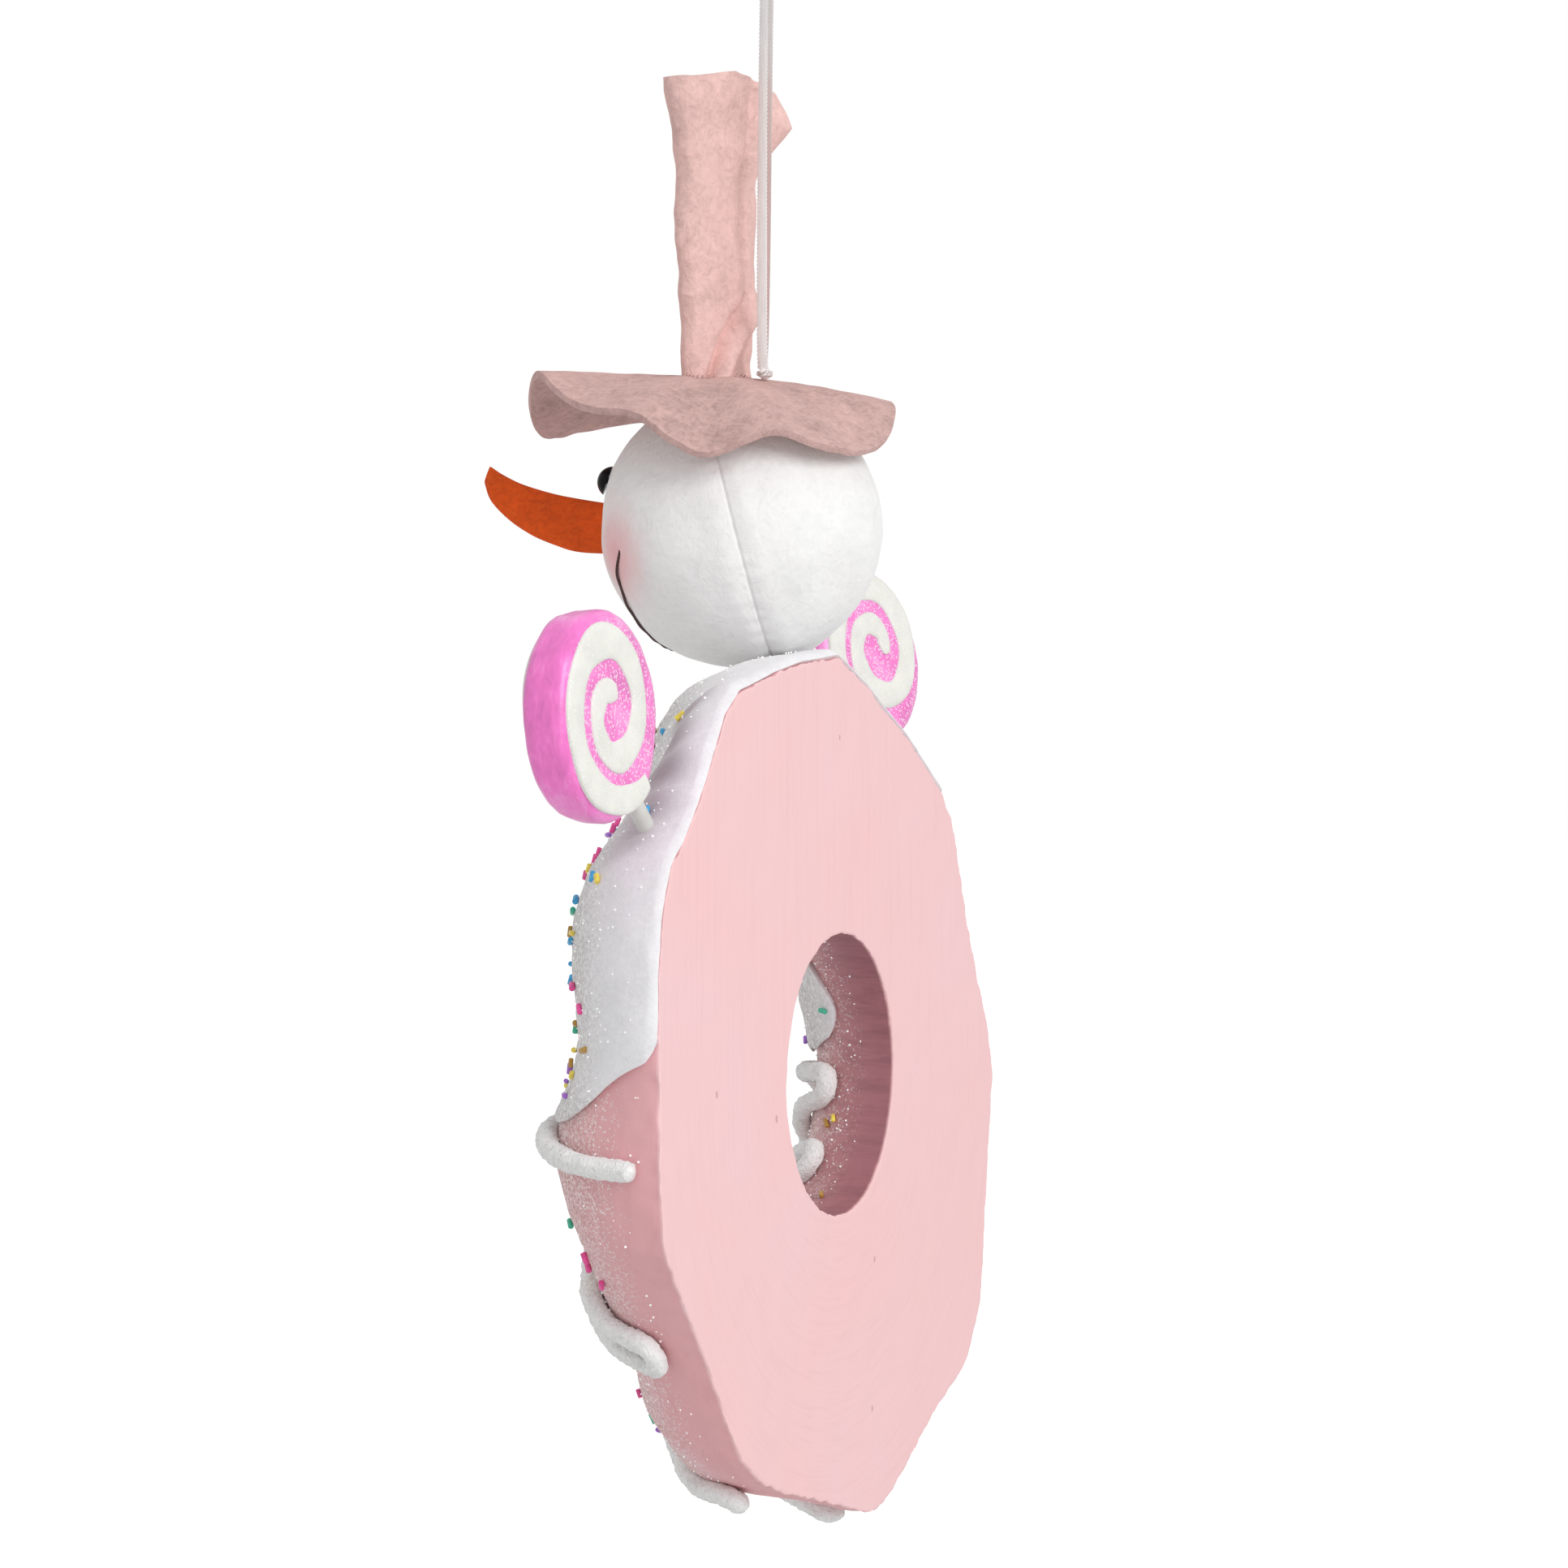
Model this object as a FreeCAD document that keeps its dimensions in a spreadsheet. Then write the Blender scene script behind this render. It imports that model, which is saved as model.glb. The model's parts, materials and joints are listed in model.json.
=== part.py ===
import FreeCAD, Part
import math
import os
import random

import Sketcher

# A hanging snowman ornament: a half-round foam ring iced with felt and rope, a stuffed ball head
# under a tall felt hat, and two lollipop arms. Origin: where the hook holds the ribbon loop.
# +Z is up and the face looks along -Y. Millimetres and degrees.

SIZES = {
    # ribbon loop and its knot
    "ribbon_width": 3.0,
    "loop_top_spread": 4.0,
    "loop_root_spread": 5.4,
    "knot_radius": 2.5,
    "lashing_radius": 0.4,
    # ring
    "ring_drop": 276.1,
    "ring_radius": 105.0,
    "hole_radius": 34.5,
    "ring_depth": 34.0,
    "outer_round": 31.0,
    "inner_round": 28.0,
    "back_face": 20.7,
    # felt and gaps
    "felt_thickness": 1.8,
    "felt_rim": 1.6,
    "glue_gap": 0.2,
    "clear_gap": 0.3,
    # head
    "head_radius": 34.8,
    "head_lean": 20.6,
    "fleece_thickness": 1.6,
    "seam_turn": 109.0,
    "seam_tilt": 15.0,
    "neck_pin_radius": 1.5,
    "neck_pin_length": 40.0,
    # face
    "eye_radius": 3.7,
    "eye_bulge": 2.6,
    "eye_shank_radius": 0.8,
    "eye_shank_length": 6.0,
    "eye_turn": 23.0,
    "eye_rise": 19.3,
    "nose_reach": 37.0,
    "nose_base": 11.2,
    "nose_layer": 1.7,
    "mouth_turn": 50.0,
    "mouth_corner": 11.4,
    "mouth_bottom": 59.0,
    "thread_radius": 0.35,
    # hat
    "brim_radius": 45.5,
    "brim_droop": 12.0,
    "brim_forward": 14.3,
    "crown_width": 42.0,
    "crown_thickness": 14.0,
    "crown_height": 75.0,
    "crown_forward": 12.6,
    "hat_stitch_radius": 0.4,
    "hat_stitch_length": 3.0,
    # lollipops
    "stick_radius": 2.0,
    "stick_buried": 22.0,
    "stick_in_candy": 15.0,
    "right_stick_plane": 11.0,
    "left_stick_plane": 0.0,
    "right_stick_place": 31.5,
    "left_stick_place": 123.0,
    "right_stick_slope": 44.5,
    "left_stick_slope": 123.0,
    # how far each lollipop is turned about its stick, in degrees
    "right_candy_turn": 0.0,
    "left_candy_turn": -14.0,
    "candy_radius": 23.2,
    "candy_thickness": 11.0,
    "candy_edge": 3.2,
    "right_stick_out": 13.0,
    "left_stick_out": 7.0,
    "swirl_width": 6.4,
    "swirl_height": 0.5,
    # icing rope and sprinkles
    "rope_radius": 2.5,
    "rope_seat": 0.85,
    "sprinkle_radius": 0.65,
    "sprinkle_length": 2.4,
}

# How far the hand-cut outline of the ring stands off its mean radius, every 30 degrees from +X up.
OUTLINE_OFFSETS = [1.5, 3.0, 3.5, -3.5, -10.0, -9.5, 2.0, 10.0, 6.5, 0.5, -0.5, -3.5]

# A place on the ring's front is (angle round the ring, place across it): 0 to 1 runs round the
# hole's rim, 1 to 2 over the flat front, and 2 to 3 round the outer edge to the side.
FELT_EDGE_RIGHT = [(8.5, 3.0), (6, 2.8), (1, 2.6), (-3, 2.4), (-5, 2.15), (-3, 1.9), (2, 1.6),
                   (0, 1.3), (-6, 1.05), (-7, 0.8), (-3, 0.55), (-3, 0.2)]
FELT_EDGE_LEFT = [(177, 0.2), (176, 0.6), (179.5, 0.85), (177, 1.1), (174, 1.5), (178, 1.9),
                  (176.5, 2.15), (170, 2.45), (158, 2.6), (148, 2.7), (140, 2.85), (134.5, 3.0)]

# The icing rope swings between turns at the outer edge and turns at the hole.
ROPE_START = (-7.0, 2.88)
ROPE_OUTER_TURNS = [-35.0, -69.0, -101.0, -125.0, -154.0]
ROPE_INNER_TURNS = [-19.0, -52.0, -85.0, -113.0, -139.0, -171.0]
ROPE_END = (-177.0, 2.3)
OUTER_TURN_ACROSS = 2.82
INNER_TURN_ACROSS = 0.3
SWING_SHARE = 0.8
# half the width of a turn, in rope radii
TURN_HALF = 1.35
# how many steps a crossing strand takes, and the short first and last ones
STRAND_STEPS = 10
SHORT_STRAND_STEPS = 8
LONG_STRAND = 2.0

SPRINKLE_COLOURS = ["pink", "yellow", "brown", "green", "blue", "purple"]
# the colour, the angle and the place across of the sprinkles on the near side and in the hole
SPRINKLES_ON_THE_SIDE = [("pink", 38.5, 2.53), ("pink", 38.5, 2.46), ("purple", 36.5, 2.5),
    ("pink", 36, 2.35), ("pink", 36, 2.27), ("yellow", 32.5, 2.38), ("pink", 32.5, 2.31),
    ("blue", 28.5, 2.58), ("yellow", 27.5, 2.65), ("blue", 28, 2.33), ("green", 27, 2.27),
    ("brown", 24, 2.26), ("blue", 22, 2.32), ("pink", 15.5, 2.35), ("pink", 12, 2.48),
    ("brown", 10.5, 2.26), ("yellow", 6.5, 2.26), ("brown", 6.5, 2.56), ("brown", 4.5, 2.23),
    ("purple", 3.5, 2.17), ("yellow", 3, 2.4), ("purple", 1.5, 2.2), ("pink", -23.5, 2.46),
    ("yellow", -29, 2.26), ("pink", -26.5, 2.56), ("yellow", 56, 2.68), ("blue", 63.5, 2.37),
    ("blue", 36.5, 2.83), ("pink", -57.5, 2.26), ("green", 158, 0.28), ("yellow", -157.5, 0.24),
    ("brown", -156, 0.3), ("brown", -115.5, 0.13)]
SPRINKLES_TRIED = 300
SPRINKLE_SEED = 11
# the angle from one sprinkle to the next, and the places across the ring they lie at
GOLDEN_ANGLE = 137.5
SPRINKLE_FIRST_ACROSS = 0.6
SPRINKLE_SPREAD_ACROSS = 1.8
SPRINKLE_LEAN_OUT = 0.8
SPRINKLE_SPACING = 3.2
SPRINKLE_OFF_HEAD = 3.0

# the swirl's pitch and inset, in band widths
SWIRL_PITCH = 1.66
SWIRL_INSET = 0.72

MOUTH_STEPS = 8
# how fast the smile spreads and falls from its corners
MOUTH_SPREAD = 1.15
MOUTH_FALL = 2.2

STITCHES = 18
# how far the sticks lean to the front for each unit out
STICK_LEAN = 0.05
# the most that two places may differ and still count as one, and a tool's spare length
SAME = 0.01
SPARE = 50.0

doc = FreeCAD.newDocument("hanging_snowman")
sizes = doc.addObject("Spreadsheet::Sheet", "sizes")
for row, (name, value) in enumerate(SIZES.items(), start=1):
    sizes.set("A%d" % row, name)
    sizes.set("B%d" % row, str(value))
    sizes.setAlias("B%d" % row, name)
doc.recompute()

UP = FreeCAD.Vector(0, 0, 1)
FRONT = FreeCAD.Vector(0, -1, 0)
subparts = []


def size(name):
    return float(sizes.get(name))


def vector(x, y, z):
    return FreeCAD.Vector(x, y, z)


def finish(item, label, placement=None):
    """Name a sub-part for its file, and put it in its place."""
    item.Label = label
    if placement is not None:
        item.Placement = placement
    subparts.append(item)
    return item


def primitive(kind, name, placement=None, **expressions):
    """A Part primitive whose properties follow the sheet."""
    item = doc.addObject("Part::" + kind, name)
    for prop, formula in expressions.items():
        item.setExpression(prop, formula)
    if placement is not None:
        item.Placement = placement
    return item


def boolean(kind, name, base, tool):
    item = doc.addObject("Part::" + kind, name)
    item.Base = base
    item.Tool = tool
    return item


def feature(label, shape):
    """A shape made in code, for pieces that no body or primitive describes."""
    item = doc.addObject("Part::Feature", label)
    item.Shape = shape
    return finish(item, label)


def aim(point, direction):
    """A placement at point whose local Z runs along direction."""
    return FreeCAD.Placement(point, FreeCAD.Rotation(UP, direction))


def rounded_wire(points, share=0.45):
    """Straight runs joined by arcs tangent to them. Returns the wire and the arcs' radii."""
    edges = []
    radii = []
    last = points[0]
    for before, corner, after in zip(points, points[1:], points[2:]):
        back = before.sub(corner)
        ahead = after.sub(corner)
        reach = share * min(back.Length, ahead.Length)
        back.normalize()
        ahead.normalize()
        half_turn = (math.pi - back.getAngle(ahead)) / 2
        radius = reach / math.tan(half_turn)
        start = corner + back * reach
        stop = corner + ahead * reach
        inward = (back + ahead).normalize()
        middle = corner + inward * (radius / math.cos(half_turn) - radius)
        edges.append(Part.LineSegment(last, start).toShape())
        edges.append(Part.Arc(start, middle, stop).toShape())
        radii.append(radius)
        last = stop
    edges.append(Part.LineSegment(last, points[-1]).toShape())
    return Part.Wire(edges), radii


def tube(name, points, radius):
    """A round tube along a rounded wire, with its volume and its tightest arc printed."""
    path, radii = rounded_wire(points)
    start = points[0]
    circle = Part.Wire(Part.makeCircle(radius, start, points[1].sub(start)))
    solid = path.makePipeShell([circle], True, False)
    expected = math.pi * radius ** 2 * path.Length
    print("%s: length %.1f, tightest arc %.2f, radii %.1f to %.1f, volume ratio %.4f" % (
        name, path.Length, min(radii), min(radii), max(radii), solid.Volume / expected))
    return solid


# ---------------------------------------------------------------- ring
ring_centre = vector(0, size("back_face"), -size("ring_drop"))
front_plane = size("back_face") - size("ring_depth")
outer_round = size("outer_round")
inner_round = size("inner_round")
hole_radius = size("hole_radius")


def outline_curve(grow):
    """The ring's closed outline in the back plane, grown by a margin."""
    points = []
    step = 360 / len(OUTLINE_OFFSETS)
    for place, offset in enumerate(OUTLINE_OFFSETS):
        angle = math.radians(place * step)
        radius = size("ring_radius") + offset + grow
        points.append(ring_centre + vector(radius * math.cos(angle), 0, radius * math.sin(angle)))
    curve = Part.BSplineCurve()
    curve.interpolate(Points=points, PeriodicFlag=True)
    return curve


def ring_solid(grow):
    """The half-round ring, with every face but the flat back grown outwards."""
    depth = size("ring_depth") + grow
    wire = Part.Wire(outline_curve(grow).toShape())
    slab = Part.Face(wire).extrude(FRONT * depth)
    drill = Part.makeCylinder(hole_radius - grow, depth + 2 * SPARE,
                              ring_centre - FRONT * SPARE, FRONT)
    slab = slab.cut(drill)
    front = []
    for edge in slab.Edges:
        flat = abs(edge.BoundBox.YMax - edge.BoundBox.YMin) < SAME
        if flat and abs(edge.BoundBox.YMin - (front_plane - grow)) < SAME:
            front.append(edge)
    front.sort(key=lambda edge: edge.Length)
    solid = slab.makeFillet(outer_round + grow, front[-1:])
    rims = []
    for edge in solid.Edges:
        small = edge.BoundBox.XLength < 2 * hole_radius + SAME
        if small and abs(edge.BoundBox.YMax - (front_plane - grow)) < SAME:
            rims.append(edge)
    return solid.makeFillet(inner_round + grow, rims)


outline = outline_curve(0)


def outline_frame(angle):
    """The outline's point nearest an angle, and its outward direction there."""
    turn = math.radians(angle)
    radial = vector(math.cos(turn), 0, math.sin(turn))
    parameter = outline.parameter(ring_centre + radial * size("ring_radius"))
    point = outline.value(parameter)
    tangent = outline.tangent(parameter)[0]
    outward = tangent.cross(vector(0, 1, 0)).normalize()
    if outward.dot(radial) < 0:
        outward = outward * -1
    return point, outward, radial


def dome_point(angle, across, lift=0.0):
    """A point on the ring's front, lifted off it, and the direction that faces out there."""
    edge_point, outward, radial = outline_frame(angle)
    rim_centre = ring_centre + radial * (hole_radius + inner_round)
    rim_centre.y = front_plane + inner_round
    edge_centre = edge_point - outward * outer_round
    edge_centre.y = front_plane + outer_round
    if across < 1:
        swing = math.radians(90 * across)
        normal = radial * -math.cos(swing) + FRONT * math.sin(swing)
        return rim_centre + normal * (inner_round + lift), normal
    if across > 2:
        swing = math.radians(90 * (across - 2))
        normal = outward * math.sin(swing) + FRONT * math.cos(swing)
        return edge_centre + normal * (outer_round + lift), normal
    start = rim_centre + FRONT * (inner_round + lift)
    stop = edge_centre + FRONT * (outer_round + lift)
    return start + (stop - start) * (across - 1), vector(0, -1, 0)


def stick_axis(side):
    """The buried tip of a lollipop stick, and the way the stick points."""
    edge_point, outward, radial = outline_frame(size(side + "_stick_place"))
    reach = (edge_point - ring_centre).Length - size("stick_buried")
    tip = ring_centre + radial * reach
    tip.y = size(side + "_stick_plane")
    slope = math.radians(size(side + "_stick_slope"))
    direction = vector(math.cos(slope), -STICK_LEAN, math.sin(slope)).normalize()
    print("stick", side, tuple(tip), tuple(direction))
    return tip, direction


ARMS = {"right": stick_axis("right"), "left": stick_axis("left")}


def stick_hole(side, radius):
    """The hole that a stick goes into, open to the outside."""
    tip, direction = ARMS[side]
    return Part.makeCylinder(radius, size("stick_buried") + SPARE, tip - direction, direction)


# the neck pin runs from the ring's top edge towards the middle of the head
top_point, top_outward, top_radial = outline_frame(90)
neck_root = vector(0, front_plane + outer_round, top_point.z - outer_round)
lean = math.radians(size("head_lean"))
neck_direction = vector(0, -math.sin(lean), math.cos(lean))
skin_lift = size("glue_gap") + size("felt_thickness")
head_rise = outer_round + skin_lift + size("clear_gap") + size("head_radius")
head_centre = neck_root + neck_direction * head_rise
neck_middle = neck_root + neck_direction * (outer_round + skin_lift)
pin_hole = Part.makeCylinder(
    size("neck_pin_radius"), size("neck_pin_length"),
    neck_middle - neck_direction * (size("neck_pin_length") / 2), neck_direction)

core = ring_solid(0)
for side in ARMS:
    core = core.cut(stick_hole(side, size("stick_radius") + size("glue_gap") / 2))
core = core.cut(pin_hole)
feature("foam_ring", core)


def felt_region():
    """The upper part of the ring that the felt covers, as a face in the plane of its back."""
    right = [dome_point(angle, across)[0] for angle, across in FELT_EDGE_RIGHT]
    left = [dome_point(angle, across)[0] for angle, across in FELT_EDGE_LEFT]
    for point in right + left:
        point.y = size("back_face")
    far = size("ring_radius") + SPARE
    right_curve = Part.BSplineCurve()
    right_curve.interpolate(right)
    left_curve = Part.BSplineCurve()
    left_curve.interpolate(left)
    right_outside = vector(far, size("back_face"), right[0].z)
    left_outside = left[-1] + (left[-1] - ring_centre).normalize() * SPARE
    right_corner = ring_centre + vector(far, 0, far)
    left_corner = ring_centre + vector(-far, 0, far)
    corners = [left[-1], left_outside, left_corner, right_corner, right_outside, right[0]]
    edges = [right_curve.toShape(), Part.LineSegment(right[-1], left[0]).toShape()]
    edges.append(left_curve.toShape())
    for start, stop in zip(corners, corners[1:]):
        edges.append(Part.LineSegment(start, stop).toShape())
    return Part.Face(Part.Wire(Part.__sortEdges__(edges)))


region = felt_region()
felt = ring_solid(skin_lift).cut(ring_solid(size("glue_gap")))
prism = region.copy()
prism.translate(FRONT * -1)
prism = prism.extrude(FRONT * (size("ring_depth") * 2))
rim = Part.makeCylinder(hole_radius + size("felt_rim"), size("ring_depth") + 2 * SPARE,
                        ring_centre - FRONT * SPARE, FRONT)
felt = felt.common(prism).cut(rim)
for side in ARMS:
    felt = felt.cut(stick_hole(side, size("stick_radius") + 2 * size("clear_gap")))
felt = felt.cut(pin_hole)
feature("icing_felt", max(felt.Solids, key=lambda solid: solid.Volume))


# ---------------------------------------------------------------- icing rope
rope_lift = size("rope_radius") + size("rope_seat")
turn_half = size("rope_radius") * TURN_HALF


def degrees_at(distance, across):
    """The angle round the ring that a distance takes up at a place across it."""
    point = dome_point(0, across)[0]
    return math.degrees(distance / (point - vector(0, point.y, ring_centre.z)).Length)


def strand(start, stop):
    """Places along a crossing strand, which swings over mostly near the hole."""
    steps = STRAND_STEPS if abs(stop[1] - start[1]) > LONG_STRAND else SHORT_STRAND_STEPS
    inner, outer = sorted((start, stop), key=lambda place: place[1])
    places = []
    for step in range(1, steps):
        share = step / steps
        swing = math.sin(min(1, share / SWING_SHARE) * math.pi / 2)
        places.append((inner[0] + (outer[0] - inner[0]) * swing,
                       inner[1] + (outer[1] - inner[1]) * share))
    return places if start is inner else places[::-1]


def rope_places():
    """Every place of the zigzag, with a mark at the middle of each crossing strand."""
    inner = degrees_at(turn_half, INNER_TURN_ACROSS)
    outer = degrees_at(turn_half, OUTER_TURN_ACROSS)
    stops = []
    for place, angle in enumerate(ROPE_INNER_TURNS):
        stops.append((angle, INNER_TURN_ACROSS, inner))
        if place < len(ROPE_OUTER_TURNS):
            stops.append((ROPE_OUTER_TURNS[place], OUTER_TURN_ACROSS, outer))
    places = [ROPE_START]
    breaks = []
    for angle, across, half in stops:
        before = (angle + half, across)
        run = strand(places[-1], before)
        breaks.append(len(places) + len(run) // 2)
        places += run
        places.append(before)
        places.append((angle - half, across))
    places += strand(places[-1], ROPE_END)
    places.append(ROPE_END)
    return places, breaks


places, breaks = rope_places()
cuts = [0] + breaks[2::2] + [len(places) - 1]
rope_points = [dome_point(angle, across, rope_lift)[0] for angle, across in places]
for number, (first, last) in enumerate(zip(cuts, cuts[1:]), start=1):
    stretch = rope_points[first:last + 1]
    ahead = (stretch[1] - stretch[0]).normalize()
    if first > 0:
        stretch[0] = stretch[0] + ahead * (size("clear_gap") / 2)
    behind = (stretch[-2] - stretch[-1]).normalize()
    if last < len(places) - 1:
        stretch[-1] = stretch[-1] + behind * (size("clear_gap") / 2)
    feature("icing_rope_%d" % number, tube("icing_rope_%d" % number, stretch, size("rope_radius")))


# ---------------------------------------------------------------- sprinkles
def clear_of(point, others, distance):
    return all((point - other).Length > distance for other in others)


def rope_samples():
    samples = []
    for start, stop in zip(rope_points, rope_points[1:]):
        for step in range(4):
            samples.append(start + (stop - start) * (step / 4))
    return samples


def scatter():
    """Sprinkles that lie on the front, clear of the rope, the sticks, the head and each other."""
    draw = random.Random(SPRINKLE_SEED)
    rope = rope_samples()
    border = region.OuterWire
    keep = size("rope_radius") + size("sprinkle_radius") + size("sprinkle_length") / 2
    groups = {colour: [] for colour in SPRINKLE_COLOURS}
    taken = []

    def lay(colour, angle, across, roll, spacing):
        """Lay one sprinkle, unless something is in its way. True when it lies there."""
        point, normal = dome_point(angle, across)
        flat = vector(point.x, size("back_face"), point.z)
        if border.distToShape(Part.Vertex(flat))[0] < size("sprinkle_length"):
            return False
        lift = size("glue_gap") + size("sprinkle_radius")
        if region.isInside(flat, SAME, True):
            lift += skin_lift
        middle = point + normal * lift
        if not clear_of(middle, rope, keep) or not clear_of(middle, taken, spacing):
            return False
        if (middle - head_centre).Length < size("head_radius") + SPRINKLE_OFF_HEAD:
            return False
        sideways = normal.cross(neck_direction).normalize()
        along = FreeCAD.Rotation(normal, roll).multVec(sideways)
        length = size("sprinkle_length")
        rod = Part.makeCylinder(size("sprinkle_radius"), length, middle - along * (length / 2), along)
        groups[colour].append(rod)
        taken.append(middle)
        return True

    closest = math.hypot(size("sprinkle_length"), 2 * size("sprinkle_radius"))
    for colour, angle, across in SPRINKLES_ON_THE_SIDE:
        if not lay(colour, angle, across, draw.uniform(0, 180), closest):
            print("no room for the", colour, "sprinkle at", angle, across)
    for number in range(SPRINKLES_TRIED):
        angle = number * GOLDEN_ANGLE % 360
        outwards = draw.random() ** SPRINKLE_LEAN_OUT
        across = SPRINKLE_FIRST_ACROSS + SPRINKLE_SPREAD_ACROSS * outwards
        lay(SPRINKLE_COLOURS[len(taken) % len(SPRINKLE_COLOURS)], angle, across,
            draw.uniform(0, 180), SPRINKLE_SPACING)
    return groups


for colour, rods in scatter().items():
    print("sprinkles", colour, len(rods))
    feature("sprinkles_" + colour, Part.makeCompound(rods))


# ---------------------------------------------------------------- head
def head_place(turn, rise, radius):
    """A point seen from the middle of the head, turned from the front and raised."""
    turn = math.radians(turn)
    rise = math.radians(rise)
    level = radius * math.cos(rise)
    return head_centre + vector(level * math.sin(turn), -level * math.cos(turn),
                                radius * math.sin(rise))


pin = primitive("Cylinder", "neck_pin", aim(neck_middle - neck_direction * (
    size("neck_pin_length") / 2), neck_direction),
    Radius="sizes.neck_pin_radius", Height="sizes.neck_pin_length")
finish(pin, "neck_pin")

ball = primitive("Sphere", "filling_ball", FreeCAD.Placement(head_centre, FreeCAD.Rotation()),
                 Radius="sizes.head_radius - sizes.fleece_thickness - sizes.glue_gap")


def shank_hole(name, turn):
    """A hole for one eye's shank."""
    foot = head_place(turn, size("eye_rise"), size("head_radius") - size("eye_shank_length"))
    outward = head_place(turn, size("eye_rise"), 1) - head_centre
    return primitive("Cylinder", name, aim(foot - outward * size("clear_gap"), outward),
                     Radius="sizes.eye_shank_radius + sizes.glue_gap / 2",
                     Height="sizes.eye_shank_length * 2")


def drilled(label, base):
    """A head piece with the holes for the eye shanks and the neck pin."""
    for side, sign in (("right", 1), ("left", -1)):
        tool = shank_hole(label + "_shank_hole_" + side, sign * size("eye_turn"))
        base = boolean("Cut", label + "_less_shank_" + side, base, tool)
    tool = primitive("Cylinder", label + "_pin_hole", pin.Placement,
                     Radius="sizes.neck_pin_radius", Height="sizes.neck_pin_length")
    return finish(boolean("Cut", label + "_drilled", base, tool), label)


def cover(label, start_angle, sweep):
    """One fleece panel: a slice of a ball shell, its poles tipped forwards."""
    turned = FreeCAD.Rotation(vector(1, 0, 0), size("seam_tilt")).multiply(
        FreeCAD.Rotation(UP, start_angle))
    place = FreeCAD.Placement(head_centre, turned)
    outer = primitive("Sphere", label + "_outer", place, Radius="sizes.head_radius",
                      Angle3=sweep)
    inner = primitive("Sphere", label + "_inner", place,
                      Radius="sizes.head_radius - sizes.fleece_thickness")
    return drilled(label, boolean("Cut", label + "_shell", outer, inner))


drilled("head_filling", ball)
cover("head_cover_front", -90 - size("seam_turn"), "2 * sizes.seam_turn")
cover("head_cover_back", -90 + size("seam_turn"), "360 - 2 * sizes.seam_turn")


# ---------------------------------------------------------------- sketches
def body_sketch(name, plane_role):
    body = doc.addObject("PartDesign::Body", name)
    sketch = body.newObject("Sketcher::SketchObject", name + "_sketch")
    plane = [item for item in body.Origin.OriginFeatures if item.Role == plane_role][0]
    sketch.AttachmentSupport = [(plane, "")]
    sketch.MapMode = "FlatFace"
    return body, sketch


def hold(sketch, kind, formula, *where):
    """One driven constraint, whose value is a formula of the sheet."""
    number = sketch.addConstraint(Sketcher.Constraint(kind, *where))
    sketch.setExpression("Constraints[%d]" % number, formula)


def pin_point(sketch, geometry, end, across_formula, up_formula):
    """Hold a point of the sketch at two formulas of the sheet."""
    place = sketch.getPoint(geometry, end)
    hold(sketch, "DistanceX", across_formula, -1, 1, geometry, end, place.x)
    hold(sketch, "DistanceY", up_formula, -1, 1, geometry, end, place.y)


def join(sketch, first, first_end, second, second_end):
    sketch.addConstraint(Sketcher.Constraint("Coincident", first, first_end, second, second_end))


def eye(label, turn):
    """A glossy half bead on a shank that goes into the head."""
    radius = size("eye_radius")
    bulge = size("eye_bulge")
    shank = size("eye_shank_radius")
    depth = size("eye_shank_length")
    body, sketch = body_sketch(label, "XY_Plane")
    dome_radius = (radius ** 2 + bulge ** 2) / (2 * bulge)
    start_angle = math.asin((dome_radius - bulge) / dome_radius)
    circle = Part.Circle(vector(0, bulge - dome_radius, 0), UP, dome_radius)
    dome = sketch.addGeometry(Part.ArcOfCircle(circle, start_angle, math.pi / 2))
    points = [vector(0, bulge, 0), vector(0, -depth, 0), vector(shank, -depth, 0),
              vector(shank, 0, 0), vector(radius, 0, 0)]
    lines = [sketch.addGeometry(Part.LineSegment(start, stop))
             for start, stop in zip(points, points[1:])]
    join(sketch, dome, 2, lines[0], 1)
    for first, second in zip(lines, lines[1:]):
        join(sketch, first, 2, second, 1)
    join(sketch, lines[-1], 2, dome, 1)
    pin_point(sketch, lines[0], 1, "0", "sizes.eye_bulge")
    pin_point(sketch, lines[0], 2, "0", "-sizes.eye_shank_length")
    pin_point(sketch, lines[1], 2, "sizes.eye_shank_radius", "-sizes.eye_shank_length")
    pin_point(sketch, lines[2], 2, "sizes.eye_shank_radius", "0")
    pin_point(sketch, lines[3], 2, "sizes.eye_radius", "0")
    hold(sketch, "Radius", "(sizes.eye_radius^2 + sizes.eye_bulge^2) / (2 * sizes.eye_bulge)",
         dome, dome_radius)
    spin = body.newObject("PartDesign::Revolution", label + "_spin")
    spin.Profile = sketch
    spin.ReferenceAxis = (sketch, ["V_Axis"])
    spin.Angle = 360
    seat = head_place(turn, size("eye_rise"), size("head_radius") + size("glue_gap") / 2)
    outward = head_place(turn, size("eye_rise"), 1) - head_centre
    stand = FreeCAD.Rotation(vector(0, 1, 0), outward)
    return finish(body, label, FreeCAD.Placement(seat, stand))


eye("eye_right", size("eye_turn"))
eye("eye_left", -size("eye_turn"))


# the nose's side view: how far it reaches off the ball and how high it is, as shares
NOSE_CORNERS = [(0.0, 0.56), (0.92, 1.48), (0.96, 0.86), (0.0, -0.44)]
NOSE_BENDS = [(0.52, 0.93), (1.0, 1.2), (0.62, 0.09)]


def nose_point(place):
    forward = size("head_radius") + size("glue_gap") + size("nose_reach") * place[0]
    return vector(-forward, size("nose_base") * place[1], 0)


def nose_formulas(place):
    forward = "-(sizes.head_radius + sizes.glue_gap + sizes.nose_reach * %g)" % place[0]
    return forward, "sizes.nose_base * %g" % place[1]


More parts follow.
